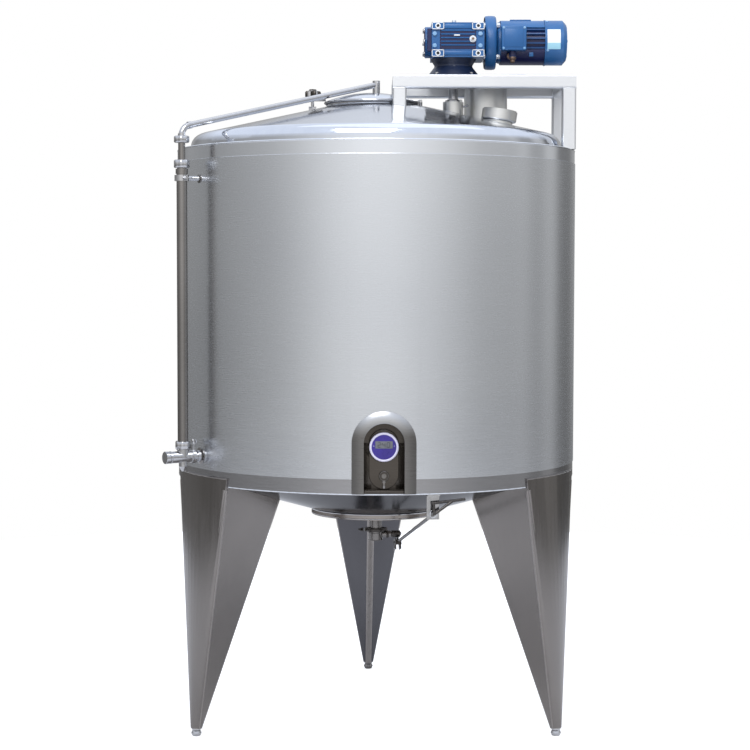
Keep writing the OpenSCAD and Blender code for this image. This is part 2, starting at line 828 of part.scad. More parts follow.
// A plate hung from the lower band, with a bush that guides the rod
module rod_bracket() {
    plate_w = 44;
    plate_t = 6;
    low = 16;
    bush_r = rod_r + 7;
    bush_h = 22;
    color("lightgray") difference() {
        union() {
            at_rod() translate([0, bracket_at - bush_h / 2, 0]) rotate([-90, 0, 0])
                cylinder(r = bush_r, h = bush_h);
            at_rod() translate([0, bracket_at, 0]) rotate([-rod_rise, 0, 0])
                translate([-plate_w / 2, -plate_t / 2, -low]) cube([plate_w, plate_t, low + bush_drop + 2]);
            intersection() {
                at_rod() translate([0, bracket_at, 0]) rotate([-rod_rise, 0, 0])
                    translate([-plate_w / 2, -16, -low]) cube([plate_w, 36, low + bush_drop + 2]);
                translate([0, 0, bottom_z - plate_t]) cylinder(r = band_r, h = plate_t);
            }
        }
        translate([0, 0, bottom_z]) cylinder(r = wall_r, h = 100);
        over_bottom();
        at_rod() translate([0, bracket_at - bush_h, 0]) rotate([-90, 0, 0])
            cylinder(r = rod_r + bore_gap, h = 2 * bush_h);
    }
}

outer_wall();
inner_vessel();
top_band();
bottom_band();
roof_cone();
bottom_cone();
bottom_sump();
leg_left();
leg_right();
leg_back();
foot_left();
foot_right();
foot_back();
post_front_left();
post_front_right();
post_back_left();
post_back_right();
beam_front();
beam_back();
rail_left();
rail_right();
deck_plate();
gear_foot();
gear_housing();
motor_flange();
motor_body();
terminal_box();
fan_cowl();
seal_housing();
output_shaft();
vent_nozzle();
capped_nozzle();
manway_collar();
manway_lid();
lid_clamp();
riser_pipe();
roof_pipe();
pipe_clamp();
lower_tee();
pocket_frame();
pocket_liner();
dial_case();
sample_knob();
outlet_pipe();
outlet_clamp();
valve_body();
valve_lever();
pull_rod();
rod_bracket();
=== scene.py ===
import json
import math

import bmesh
import bpy
import numpy as np
from mathutils import Matrix, Vector


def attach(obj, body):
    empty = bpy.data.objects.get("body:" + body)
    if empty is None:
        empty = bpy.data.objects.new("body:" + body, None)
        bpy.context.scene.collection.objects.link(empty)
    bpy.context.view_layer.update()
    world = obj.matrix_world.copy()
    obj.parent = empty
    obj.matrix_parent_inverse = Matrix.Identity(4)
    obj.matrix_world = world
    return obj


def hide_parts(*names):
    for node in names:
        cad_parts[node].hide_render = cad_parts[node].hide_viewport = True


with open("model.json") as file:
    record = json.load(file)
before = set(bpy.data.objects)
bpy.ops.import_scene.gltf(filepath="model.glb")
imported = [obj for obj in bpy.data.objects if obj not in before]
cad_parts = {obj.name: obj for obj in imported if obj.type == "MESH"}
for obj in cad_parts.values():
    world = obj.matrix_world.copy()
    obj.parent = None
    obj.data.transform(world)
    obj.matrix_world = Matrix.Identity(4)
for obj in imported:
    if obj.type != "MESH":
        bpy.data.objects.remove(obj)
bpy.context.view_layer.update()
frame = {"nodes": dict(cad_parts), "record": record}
nodes = frame["nodes"]
print("frame loaded:", len(nodes), "nodes")


# Sizes of the CAD part that the pieces below are fitted to, in metres and degrees

tank = {
    "wallRadius": 0.750, "bandRadius": 0.748, "vesselRadius": 0.698, "bottom": 0.925, "rim": 2.140,
    "topBand": 0.050, "lowBand": 0.055, "roofSlope": 13.0, "knuckle": 0.045, "lip": 0.015,
    "bottomSlope": 16.3, "sumpRadius": 0.245, "sumpDepth": 0.022,
    "legTurns": (210.4, 330.4, 92.2), "legHalfTurn": 15.2, "legLap": 0.032, "footRadius": 0.757,
    "legReach": 0.326, "legEdge": 0.016, "legEnd": 0.030, "legEndRadius": 0.021,
}


def roofAt(radius):
    # height of the roof cone's face at a distance from the tank's axis
    slope = math.radians(tank["roofSlope"])
    knuckleX = tank["vesselRadius"] - tank["knuckle"]
    apex = (tank["rim"] + tank["lip"] + tank["knuckle"] * math.cos(slope)
            + (knuckleX + tank["knuckle"] * math.sin(slope)) * math.tan(slope))
    return apex - radius * math.tan(slope)


def coneAt(radius):
    # height of the bottom cone's outside at a distance from the tank's axis
    return tank["bottom"] - (tank["vesselRadius"] - radius) * math.tan(math.radians(tank["bottomSlope"]))


# Shapes, each a pair of arrays: points, and faces of four corners

def gridFaces(rows, cols, closeRows=False, closeCols=False):
    # corners of the quads between neighbours of a rows by cols grid, numbered row by row
    i = np.arange(rows if closeRows else rows - 1)[:, None]
    j = np.arange(cols if closeCols else cols - 1)[None, :]
    below, right = (i + 1) % rows, (j + 1) % cols
    return np.stack([i * cols + j, i * cols + right, below * cols + right, below * cols + j], -1).reshape(-1, 4)


def axes(along, side=(0, 0, 1)):
    # three square directions as rows: the last runs along, the first lies across it and side
    z = np.array(along, float) / np.linalg.norm(along)
    x = np.cross(side, z)
    if np.linalg.norm(x) < 1e-6:
        x = np.array((1.0, 0.0, 0.0))
    x = x / np.linalg.norm(x)
    return np.stack([x, np.cross(z, x), z])


def turned(profile, at=(0, 0, 0), along=(0, 0, 1), sides=32, lobes=0, lobeDepth=0.0, start=0.0):
    # (radius, height) pairs turned round a line: radius * (cos t, sin t), radius * (1 + depth * cos(lobes * t))
    profile = np.array(profile, float)
    t = np.linspace(0, 2 * np.pi, sides, endpoint=False) + start
    radius = profile[:, 0, None] * (1 + lobeDepth * np.cos(lobes * t))[None, :]
    local = np.stack([radius * np.cos(t), radius * np.sin(t), np.broadcast_to(profile[:, 1, None], radius.shape)], -1)
    return local.reshape(-1, 3) @ axes(along) + np.array(at, float), gridFaces(len(profile), sides, closeCols=True)


def roundedBlock(size, at=(0, 0, 0), edge=0.002, steps=3, along=(0, 0, 1), side=(0, 0, 1)):
    # a ball cut in eight whose parts are drawn out to a block: sign * (half - edge) + edge * ball direction
    half = np.array(size, float) / 2
    edge = min(edge, half.min() * 0.999)
    lon = (np.linspace(0, np.pi / 2, steps)[None, :] + np.arange(4)[:, None] * np.pi / 2).ravel()
    signX, signY = np.repeat([1, -1, -1, 1], steps), np.repeat([1, 1, -1, -1], steps)
    lat = np.concatenate([np.linspace(-np.pi / 2, 0, steps), np.linspace(0, np.pi / 2, steps)])
    signZ = np.repeat([-1, 1], steps)
    ball = np.stack([np.cos(lat)[:, None] * np.cos(lon), np.cos(lat)[:, None] * np.sin(lon),
                     np.broadcast_to(np.sin(lat)[:, None], (len(lat), len(lon)))], -1)
    sign = np.stack([np.broadcast_to(signX, ball.shape[:2]), np.broadcast_to(signY, ball.shape[:2]),
                     np.broadcast_to(signZ[:, None], ball.shape[:2])], -1)
    grid = sign * (half - edge) + edge * ball
    low, high = np.zeros((1, len(lon), 3)), np.zeros((1, len(lon), 3))
    low[..., 2], high[..., 2] = -half[2], half[2]
    grid = np.concatenate([low, grid, high])
    return grid.reshape(-1, 3) @ axes(along, side) + np.array(at, float), gridFaces(len(grid), len(lon), closeCols=True)


def carried(path, ring, up=(0, 0, 1), closed=False):
    # a ring of (across, above) pairs carried along a path: point + across * side + above * top, ends closed
    path, ring = np.array(path, float), np.array(ring, float)
    run = np.roll(path, -1, 0) - np.roll(path, 1, 0) if closed else np.gradient(path, axis=0)
    side = np.cross(run, up)
    side /= np.linalg.norm(side, axis=1)[:, None]
    top = np.cross(side, run)
    top /= np.linalg.norm(top, axis=1)[:, None]
    grid = path[:, None] + ring[None, :, :1] * side[:, None] + ring[None, :, 1:] * top[:, None]
    if not closed:
        first = np.broadcast_to(grid[:1].mean(1, keepdims=True), (1, len(ring), 3))
        last = np.broadcast_to(grid[-1:].mean(1, keepdims=True), (1, len(ring), 3))
        grid = np.concatenate([first, grid, last])
    return grid.reshape(-1, 3), gridFaces(len(grid), len(ring), closeRows=closed, closeCols=True)


def circle(radius, sides=10):
    t = np.linspace(0, 2 * np.pi, sides, endpoint=False)
    return np.stack([radius * np.cos(t), radius * np.sin(t)], -1)


def arcAt(radius, height, start, end, steps):
    # points of a level arc round the tank, in degrees
    t = np.radians(np.linspace(start, end, steps))
    return np.stack([radius * np.cos(t), radius * np.sin(t), np.full(steps, float(height))], -1)


def repeated(shape, offsets):
    # the same shape at each offset
    points, faces = shape
    offsets = np.array(offsets, float)
    many = (points[None] + offsets[:, None]).reshape(-1, 3)
    return many, (faces[None] + (np.arange(len(offsets)) * len(points))[:, None, None]).reshape(-1, 4)


def spunRound(shape, angles, at=(0, 0, 0), along=(0, 0, 1)):
    # the same shape turned by each angle about a line through a point
    points, faces = shape
    basis, at = axes(along), np.array(at, float)
    local = (points - at) @ basis.T
    c, s = np.cos(angles), np.sin(angles)
    zero, one = np.zeros_like(c), np.ones_like(c)
    turns = np.stack([np.stack([c, s, zero], -1), np.stack([-s, c, zero], -1), np.stack([zero, zero, one], -1)], 1)
    many = np.einsum("pi,kij->kpj", local, turns) @ basis + at
    return many.reshape(-1, 3), (faces[None] + (np.arange(len(angles)) * len(points))[:, None, None]).reshape(-1, 4)


def evenTurns(count, start=0.0):
    return np.arange(count) * 2 * np.pi / count + math.radians(start)


def around(shape, turn):
    # a shape laid out in front of the tank, on -Y, carried round to a direction in degrees
    return spunRound(shape, np.array([math.radians(turn + 90)]))


def hexHead(at, along, across=0.013, height=0.006, start=0.0):
    # bolt head: six flats with a turned chamfer on top, on a thin round washer
    radius = across / math.sqrt(3)
    washer = turned([(0, 0), (radius * 1.25, 0), (radius * 1.25, 0.0012), (0, 0.0012)], at, along, 18)
    head = turned([(0, 0.0012), (radius, 0.0012), (radius, height * 0.86), (radius * 0.86, height), (0, height)],
                  at, along, 6, start=start)
    return joined([washer, head])


def joined(shapes):
    starts = np.cumsum([0] + [len(points) for points, faces in shapes])
    return (np.concatenate([points for points, faces in shapes]),
            np.concatenate([faces + start for (points, faces), start in zip(shapes, starts)]))


def makePiece(name, shapes, material, body="tank", crease=32.0):
    # joined shapes become one mesh in the row frame: doubles merged, faces turned outward, edges kept sharp
    points, faces = joined(shapes)
    mesh = bpy.data.meshes.new(name)
    mesh.from_pydata(points.tolist(), [], faces.tolist())
    work = bmesh.new()
    work.from_mesh(mesh)
    bmesh.ops.remove_doubles(work, verts=work.verts, dist=2e-6)
    bmesh.ops.recalc_face_normals(work, faces=work.faces)
    work.to_mesh(mesh)
    work.free()
    mesh.shade_smooth()
    mesh.set_sharp_from_angle(angle=math.radians(crease))
    mesh.materials.append(material)
    made = bpy.data.objects.new(name, mesh)
    bpy.context.scene.collection.objects.link(made)
    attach(made, body)
    return made


# Materials

def toLinear(hexColor, alpha=1.0):
    # sRGB hex to linear: c / 12.92 under 0.04045, else ((c + 0.055) / 1.055) to the power 2.4
    parts = [int(hexColor[i:i + 2], 16) / 255 for i in (1, 3, 5)]
    return tuple(c / 12.92 if c <= 0.04045 else ((c + 0.055) / 1.055) ** 2.4 for c in parts) + (alpha,)


def addNode(tree, kind, settings=None, inputs=None):
    # one node, its settings, and its inputs as values or as links from other nodes' sockets
    made = tree.nodes.new(kind)
    for key, value in (settings or {}).items():
        setattr(made, key, value)
    for key, value in (inputs or {}).items():
        if isinstance(value, bpy.types.NodeSocket):
            tree.links.new(value, made.inputs[key])
        else:
            made.inputs[key].default_value = value
    return made


def setStops(ramp, stops):
    # colours along a ramp, as (place, hex) pairs from low to high
    while len(ramp.elements) < len(stops):
        ramp.elements.new(1.0)
    for element, (spot, color) in zip(ramp.elements, stops):
        element.position = spot
        element.color = toLinear(color) if isinstance(color, str) else (color, color, color, 1.0)


def startMaterial(name):
    made = bpy.data.materials.new(name)
    made.use_nodes = True
    tree = made.node_tree
    return made, tree, tree.nodes["Principled BSDF"], addNode(tree, "ShaderNodeTexCoord").outputs["Object"]


def finishMaterial(name, look):
    # a drift of tone over the whole piece, finer marks that turn the roughness, and a shallow relief of them
    made, tree, shader, place = startMaterial(name)
    stretch = addNode(tree, "ShaderNodeMapping", inputs={"Vector": place, "Scale": look["stretch"]})
    marks = addNode(tree, "ShaderNodeTexNoise", inputs={
        "Vector": stretch.outputs["Vector"], "Scale": look["marks"], "Detail": 3.0, "Roughness": 0.6})
    drift = addNode(tree, "ShaderNodeTexNoise", inputs={"Vector": place, "Scale": look["drift"], "Detail": 2.0})
    tone = addNode(tree, "ShaderNodeMix", {"data_type": "FLOAT"}, {
        "Factor": look["markShare"], "A": drift.outputs["Fac"], "B": marks.outputs["Fac"]})
    ramp = addNode(tree, "ShaderNodeValToRGB", inputs={"Fac": tone.outputs["Result"]})
    setStops(ramp.color_ramp, [(0.3, look["dark"]), (0.7, look["light"])])
    rough = addNode(tree, "ShaderNodeMapRange", inputs={
        "Value": marks.outputs["Fac"], "From Min": 0.3, "From Max": 0.7,
        "To Min": look["rough"][0], "To Max": look["rough"][1]})
    relief = addNode(tree, "ShaderNodeBump", inputs={
        "Height": marks.outputs["Fac"], "Strength": look["relief"], "Distance": look["depth"]})
    base = ramp.outputs["Color"]
    if "pale" in look:
        # painted highlight: the base colour grows paler between two heights
        height = addNode(tree, "ShaderNodeSeparateXYZ", inputs={"Vector": place}).outputs["Z"]
        share = addNode(tree, "ShaderNodeMapRange", {"interpolation_type": "SMOOTHSTEP"}, {
            "Value": height, "From Min": look["pale"][0], "From Max": look["pale"][1]})
        base = addNode(tree, "ShaderNodeMix", {"data_type": "RGBA"}, {
            "Factor": share.outputs["Result"], "A": base, "B": toLinear(look["pale"][2])}).outputs["Result"]
    tree.links.new(base, shader.inputs["Base Color"])
    tree.links.new(rough.outputs["Result"], shader.inputs["Roughness"])
    tree.links.new(relief.outputs["Normal"], shader.inputs["Normal"])
    shader.inputs["Metallic"].default_value = look["metal"]
    shader.inputs["Specular Tint"].default_value = (look["edge"], look["edge"], look["edge"], 1.0)
    return made


steel = {"stretch": (1.0, 1.0, 40.0), "marks": 16.0, "markShare": 0.35, "drift": 1.6, "rough": (0.18, 0.28),
         "relief": 0.15, "depth": 0.00015, "metal": 1.0, "edge": 1.0}
paint = {"stretch": (1.0, 1.0, 1.0), "marks": 260.0, "markShare": 0.25, "drift": 9.0, "rough": (0.28, 0.42),
         "relief": 0.2, "depth": 0.0003, "metal": 0.0, "edge": 1.0}

# satin ground sheet: polished round the tank, so the marks lie level and are nearly too fine to see
satinCladding = finishMaterial("satinGroundStainless", {
    **steel, "marks": 11.0, "markShare": 0.2, "dark": "#d2d5da", "light": "#dadde1", "rough": (0.24, 0.28),
    "relief": 0.025})
bandSheet = finishMaterial("brightStainlessBand", {**steel, "dark": "#d6dae0", "light": "#e3e6eb",
                                                   "rough": (0.14, 0.2), "relief": 0.08})
lowBandSheet = finishMaterial("satinStainlessBand", {**steel, "dark": "#a8a8ab", "light": "#b5b5b8",
                                                     "rough": (0.16, 0.22), "relief": 0.08})
# mirror polished cone: nearly free of marks, so it shows the sky over the studio
roofPolish = finishMaterial("mirrorPolishedRoof", {**steel, "stretch": (1, 1, 1), "marks": 30.0, "relief": 0.1,
                                                   "dark": "#cdd2dc", "light": "#dbdfe6", "rough": (0.06, 0.14)})
# painted shade: the polished underside's base colour is darkened to a deep violet-grey, at its flat edges too, for the
# shade of the legs that it mirrors
paintedShadeUnderside = finishMaterial("paintedShadePolishedUnderside", {
    **steel, "stretch": (1, 1, 1), "marks": 5.0, "relief": 0.04, "dark": "#545258", "light": "#747278",
    "rough": (0.10, 0.16), "drift": 2.0, "edge": 0.34})
# painted shade: the satin sump under the cone gets a darker, warmer copy of the steel with a weaker edge tint, for the
# shade it sits in
paintedShadeSump = finishMaterial("paintedShadeSatinSump", {**steel, "dark": "#9d9792", "light": "#bab0aa",
                                               "rough": (0.18, 0.26), "edge": 0.5})
# folded leg sheet: ground along its length, warmer than the wall
legSheet = finishMaterial("satinStainlessLeg", {
    **steel, "stretch": (30, 30, 1.2), "marks": 3.0, "markShare": 0.25, "dark": "#7a7673", "light": "#8d8884",
    "rough": (0.20, 0.26), "relief": 0.05})
# painted highlight: a paler copy of the leg sheet on the rounded folds, for the light they catch
paintedHighlightFold = finishMaterial("paintedHighlightLegFold", {**steel, "stretch": (30, 30, 1.2), "marks": 3.0, "dark": "#8f8a87",
                                                "light": "#a19c98", "rough": (0.26, 0.34), "relief": 0.05})
# painted shade: a darker copy of the leg sheet with a weaker edge tint, given to the back leg for the shade it stands
# in
paintedShadeBackLeg = finishMaterial("paintedShadeStainlessLeg", {
    **steel, "stretch": (30, 30, 1.2), "marks": 3.0, "markShare": 0.25, "dark": "#555457", "light": "#656467",
    "rough": (0.20, 0.26), "relief": 0.05, "edge": 0.6})
# thick square tube with a fine white satin
standTube = finishMaterial("fineSatinStainlessTube", {**steel, "stretch": (6, 60, 60), "marks": 8.0,
                                                      "dark": "#dcdee1", "light": "#e9eaec", "rough": (0.30, 0.40)})
# turned and buffed fittings: bright, with round tool marks too fine to see
fittingSteel = finishMaterial("buffedFittingStainless", {**steel, "stretch": (1, 1, 1), "marks": 90.0,
                                                         "dark": "#b0b0b2", "light": "#cbcbcd", "rough": (0.12, 0.22)})
# painted reflection and shade: round bar, pipe and valve castings get darker base colours, standing in for the darker
# side of the room that they mirror
pipeSteel = finishMaterial("polishedRiserPipe", {**steel, "marks": 30.0, "dark": "#7c7977", "light": "#94918f",
                                                 "rough": (0.10, 0.18)})
# painted shade: a darker copy of the fitting steel, laid on the outlet and valve, the pocket knob, the wall flanges and
# the back foot
paintedShadeFittingSteel = finishMaterial("paintedShadePolishedFitting", {**steel, "stretch": (1, 1, 1), "marks": 70.0,
                                                       "dark": "#74716f", "light": "#8e8b89", "rough": (0.14, 0.24)})
# painted shade: the rod, lever and outlet clamp steel is darkened nearly to brown-black
paintedShadeRod = finishMaterial("paintedShadeRodSteel", {**steel, "stretch": (1, 1, 1), "marks": 80.0, "dark": "#454240",
                                             "light": "#585553", "rough": (0.22, 0.32)})
# nozzles on the roof: satin, so they stay plain beside the mirror of the cone
nozzleSteel = finishMaterial("satinRoofNozzle", {**steel, "marks": 20.0, "dark": "#dadad8", "light": "#ebebe9",
                                                 "rough": (0.28, 0.36), "relief": 0.08})
# pressed pocket frame: polished, paler towards its top as a painted highlight, and the recess behind it, darkened with
# painted shade
frameSteel = finishMaterial("polishedPressedFrame", {
    **steel, "marks": 12.0, "dark": "#6c6a68", "light": "#7e7c7a", "rough": (0.26, 0.34), "relief": 0.06,
    "pale": (1.12, 1.20, "#bdbec0")})
# painted shade: a dark brown-grey steel for the pocket's recess, back sheet and gauge plate, for the shade inside the
# pocket; the clamp knob shares it as its own dark steel
darkSteel = finishMaterial("darkStainlessAndPaintedRecessShade", {**steel, "marks": 24.0, "dark": "#47433f", "light": "#58534e",
                                                      "rough": (0.20, 0.28), "relief": 0.08})
# sprayed machine enamel over castings: soft gloss with orange peel
bluePaint = finishMaterial("blueMachineEnamel", {**paint, "dark": "#215a94", "light": "#2b6aa6"})
# painted shade: the finned motor body gets a deeper copy of the blue enamel, for the shade between its fins
paintedShadeFinBlue = finishMaterial("paintedShadeFinEnamel", {**paint, "dark": "#174173", "light": "#205088"})
# painted highlight: a paler copy of the blue enamel on the raised bosses and screw heads, for the light they catch
paintedHighlightBlue = finishMaterial("paintedHighlightBlueEnamel", {**paint, "dark": "#6ea2d0", "light": "#97bbdc"})
# painted shade: a navy copy of the blue enamel, standing in for shade; it is laid on the slots between the housing's
# ribs, the side cover, the motor's underside, between the fins and on the gland neck
paintedShadeNavy = finishMaterial("paintedShadeNavyEnamel", {**paint, "dark": "#131943", "light": "#1c2459"})
darkCasting = finishMaterial("navyCastIronEnamel", {**paint, "dark": "#101a30", "light": "#1c2a48",
                                                    "rough": (0.3, 0.45)})
# machined pads left nearly bare, seen as white edges
bareMachined = finishMaterial("bareMachinedAluminium", {**paint, "metal": 0.6, "dark": "#dfe3e8", "light": "#f3f5f7",
                                                        "rough": (0.3, 0.45)})
# painted shade: thin black discs and rings stand for the dark inside of the pads' bores and the openings of the cowl
# grille
paintedShadeBlack = finishMaterial("paintedShadeBoreBlack", {**paint, "dark": "#08080c", "light": "#14141c"})
footRubber = finishMaterial("blackFootRubber", {**paint, "marks": 400.0, "dark": "#0d0d0e", "light": "#1a1a1b",
                                                "rough": (0.55, 0.75)})
gasketRubber = finishMaterial("greyGasketRubber", {**paint, "marks": 300.0, "dark": "#6e6d70", "light": "#7f7e81",
                                                   "rough": (0.5, 0.7)})
# moulded dial parts
dialRimPlastic = finishMaterial("lilacWhiteDialRim", {**paint, "dark": "#dcd8ee", "light": "#ece9f8",
                                                      "rough": (0.2, 0.3)})
dialFacePlastic = finishMaterial("violetPrintedDialFace", {**paint, "dark": "#33267c", "light": "#40329a",
                                                           "rough": (0.25, 0.35)})
displayGlass = finishMaterial("greyLiquidCrystal", {**paint, "dark": "#6a6c72", "light": "#787a7f",
                                                    "rough": (0.12, 0.2)})
displayInk = finishMaterial("darkDisplaySegment", {**paint, "dark": "#24252b", "light": "#2e2f36"})
glandBrass = finishMaterial("dulledBrassGland", {**paint, "metal": 0.7, "dark": "#6d5a50", "light": "#8f7868",
                                                 "rough": (0.35, 0.5)})
plateWhite = finishMaterial("whiteEnamelledPlate", {**paint, "dark": "#eef3f6", "light": "#fafcfd"})
plateCyan = finishMaterial("paleCyanPlateEdge", {**paint, "dark": "#8fd0ea", "light": "#b5e2f2"})

slotMaterials = {
    "satin_cladding": satinCladding, "band_sheet": bandSheet, "polished_steel": roofPolish,
    "leg_sheet": legSheet, "stand_tube": standTube, "fitting_steel": fittingSteel, "dark_steel": darkSteel,
    "blue_paint": bluePaint, "dark_casting": darkCasting, "foot_rubber": footRubber,
    "dial_plastic": dialRimPlastic,
}
ownMaterials = {
    "bottom_cone": paintedShadeUnderside, "bottom_sump": paintedShadeSump, "manway_collar": nozzleSteel,
    "deck_plate": lowBandSheet, "bottom_band": lowBandSheet, "leg_back": paintedShadeBackLeg,
    "riser_pipe": pipeSteel, "outlet_pipe": paintedShadeFittingSteel, "outlet_clamp": paintedShadeRod, "valve_body": paintedShadeFittingSteel,
    "valve_lever": paintedShadeRod, "pull_rod": paintedShadeRod, "motor_body": paintedShadeFinBlue, "sample_knob": darkSteel,
    "vent_nozzle": nozzleSteel, "capped_nozzle": nozzleSteel, "seal_housing": nozzleSteel,
    # painted shade: the back foot takes the darker fitting steel, the front feet the bright one
    "foot_left": fittingSteel, "foot_right": fittingSteel, "foot_back": paintedShadeFittingSteel,
}

for part in frame["record"]["subparts"]:
    shown = nodes[part["node"]]
    shown.data.materials.clear()
    shown.data.materials.append(ownMaterials.get(part["node"], slotMaterials[part["material_slot"]]))
print("materials set")


# Tank: weld beads, rolled edges and seams

bead = {"rim": 0.004, "bandEdge": 0.0008, "weld": 0.0035, "seam": 0.002}
top, low = tank["rim"], tank["bottom"]
rimBead = turned([(tank["bandRadius"] - 0.003 + bead["rim"] * math.cos(a), top - 0.002 + bead["rim"] * math.sin(a))
                  for a in np.linspace(0, 2 * math.pi, 13)], sides=192)
roofWeld = turned([(tank["vesselRadius"] + 0.001 + bead["weld"] * math.cos(a), top + bead["weld"] * math.sin(a) + 0.0005)
                   for a in np.linspace(0, 2 * math.pi, 9)], sides=192)
lowRimBead = turned([(tank["bandRadius"] - 0.0025 + 0.003 * math.cos(a), low + 0.003 + 0.003 * math.sin(a))
                     for a in np.linspace(0, 2 * math.pi, 11)], sides=192)
makePiece("rolledRims", [rimBead, roofWeld, lowRimBead], bandSheet)

edges = [turned([(tank["wallRadius"] - 0.0006 + bead["bandEdge"] * math.cos(a), z + bead["bandEdge"] * math.sin(a))
                 for a in np.linspace(0, 2 * math.pi, 9)], sides=192)
         for z in (top - tank["topBand"],)]
jacketSeam = carried(np.stack([np.zeros(24), np.full(24, tank["wallRadius"] + 0.0002),
                               np.linspace(low + tank["lowBand"], top - tank["topBand"], 24)], -1),
                     circle(bead["seam"], 8), up=(1, 0, 0))
makePiece("jacketSeams", edges + [jacketSeam], satinCladding)

legWelds = []
for turn in tank["legTurns"]:
    radius = tank["bandRadius"] + 0.003
    height = low + tank["legLap"] - 0.001
    legWelds.append(carried(arcAt(radius, height, turn - tank["legHalfTurn"], turn + tank["legHalfTurn"], 36),
                            circle(bead["weld"], 8)))
makePiece("legWelds", legWelds, legSheet)

# rounded folds, paler than the leg sheet as a painted highlight: (start, share at start, end, radius), each end as
# distance out and aside from the leg's direction
foldRadius = 0.0095
halfTurn = math.radians(tank["legHalfTurn"])
cornerOut = (tank["bandRadius"] + 0.005) * math.cos(halfTurn) - 0.0036
cornerAside = (tank["bandRadius"] + 0.005) * math.sin(halfTurn) - 0.0088
innerOut = tank["vesselRadius"] - tank["legReach"] + tank["legEdge"]
endAside = tank["legEndRadius"] - foldRadius
foldLines = [((cornerOut, way * cornerAside), 0.042, (tank["footRadius"] - 0.002, way * endAside), foldRadius)
             for way in (-1, 1)]
foldLines.append(((innerOut, 0.0), 0.11, (tank["footRadius"] - tank["legEndRadius"] + tank["legEdge"], 0.0),
                  tank["legEdge"] + 0.0008))
legFolds = []
for turn in tank["legTurns"]:
    turnCos, turnSin = math.cos(math.radians(turn)), math.sin(math.radians(turn))
    for start, shareAtStart, end, radius in foldLines:
        share = np.linspace(shareAtStart, 1.0, 24)[:, None]
        line = (1 - share) * np.array(start + (low + tank["legLap"],)) + share * np.array(end + (tank["legEnd"],))
        path = np.stack([line[:, 0] * turnCos - line[:, 1] * turnSin,
                         line[:, 0] * turnSin + line[:, 1] * turnCos, line[:, 2]], -1)
        legFolds.append(carried(path, circle(radius, 20), up=(turnCos, turnSin, 0)))
makePiece("legFolds", legFolds, paintedHighlightFold, crease=60)

footParts = []
for turn in tank["legTurns"]:
    spot = np.array((tank["footRadius"] * math.cos(math.radians(turn)),
                     tank["footRadius"] * math.sin(math.radians(turn)), 0.0))
    footParts.append(turned([(0, 0.0225), (0.0165, 0.0225), (0.0175, 0.024), (0.0175, 0.0285), (0.0165, 0.030),
                             (0, 0.030)], spot, sides=6))
makePiece("levellingNuts", footParts, fittingSteel)

sumpParts = [turned([(tank["sumpRadius"] - 0.001 + 0.004 * math.cos(a),
                      coneAt(tank["sumpRadius"]) - 0.0015 + 0.004 * math.sin(a))
                     for a in np.linspace(0, 2 * math.pi, 9)], sides=128),
             turned([(tank["sumpRadius"] - 0.004 + 0.0045 * math.cos(a),
                      coneAt(tank["sumpRadius"]) - tank["sumpDepth"] + 0.004 + 0.0045 * math.sin(a))
                     for a in np.linspace(0, 2 * math.pi, 11)], sides=128)]
makePiece("sumpRims", sumpParts, fittingSteel)
print("tank trimmed")


# Manway and roof fittings

manway = {"x": -0.017, "radius": 0.177, "collar": 0.0120, "edge": 0.008, "dome": 0.034}
collarTop = roofAt(manway["radius"] - manway["x"]) + manway["collar"]
gasket = turned([(manway["radius"] - 0.018, collarTop - 0.0025), (manway["radius"] - 0.004, collarTop - 0.0025),
                 (manway["radius"] - 0.002, collarTop - 0.001), (manway["radius"] - 0.004, collarTop + 0.0005),
                 (manway["radius"] - 0.018, collarTop + 0.0005), (manway["radius"] - 0.018, collarTop - 0.0025)],
                (manway["x"], 0, 0), sides=96)
makePiece("manwayGasket", [gasket], gasketRubber)

lidEdge = turned([(manway["radius"] - 0.001 + 0.0045 * math.cos(a), collarTop + 0.0045 + 0.0042 * math.sin(a))
                  for a in np.linspace(0, 2 * math.pi, 13)], (manway["x"], 0, 0), sides=128)
hingeX = manway["x"] + manway["radius"]
hingeParts = [lidEdge,
              roundedBlock((0.046, 0.012, 0.010), (hingeX - 0.010, -0.022, collarTop + 0.012), 0.003),
              roundedBlock((0.046, 0.012, 0.010), (hingeX - 0.010, 0.022, collarTop + 0.012), 0.003),
              turned([(0, 0), (0.0045, 0), (0.0045, 0.066), (0, 0.066)], (hingeX + 0.008, -0.033, collarTop + 0.010),
                     (0, 1, 0), 16),
              roundedBlock((0.012, 0.026, 0.055), (hingeX + 0.008, 0, collarTop - 0.014), 0.003)]
makePiece("lidEdgeAndHinge", hingeParts, fittingSteel)

# five-lobed clamp knob: radius swells five times round
clamp = {"x": -0.240, "y": -0.030, "radius": 0.0255, "lobeDepth": 0.26}
knobLow = collarTop + manway["edge"] + 0.002 + 0.013
knob = turned([(0, -0.001), (clamp["radius"] * 0.86, -0.001), (clamp["radius"] * 1.0, 0.004), (clamp["radius"], 0.018),
               (clamp["radius"] * 0.9, 0.0235), (0.012, 0.026), (0.011, 0.031), (0, 0.032)],
              (clamp["x"], clamp["y"], knobLow), sides=80, lobes=5, lobeDepth=clamp["lobeDepth"])
washer = turned([(0.0062, -0.012), (0.015, -0.012), (0.015, -0.009), (0.0062, -0.009), (0.0062, -0.012)],
                (clamp["x"], clamp["y"], knobLow), sides=24)
makePiece("clampKnob", [knob, washer], darkSteel, crease=40)

# weld rings where the vent, the seal housing and the manway meet the roof
vent = {"x": 0.418, "y": 0.078, "radius": 0.082}
ringTurn = np.radians(np.linspace(0, 360, 72, endpoint=False))


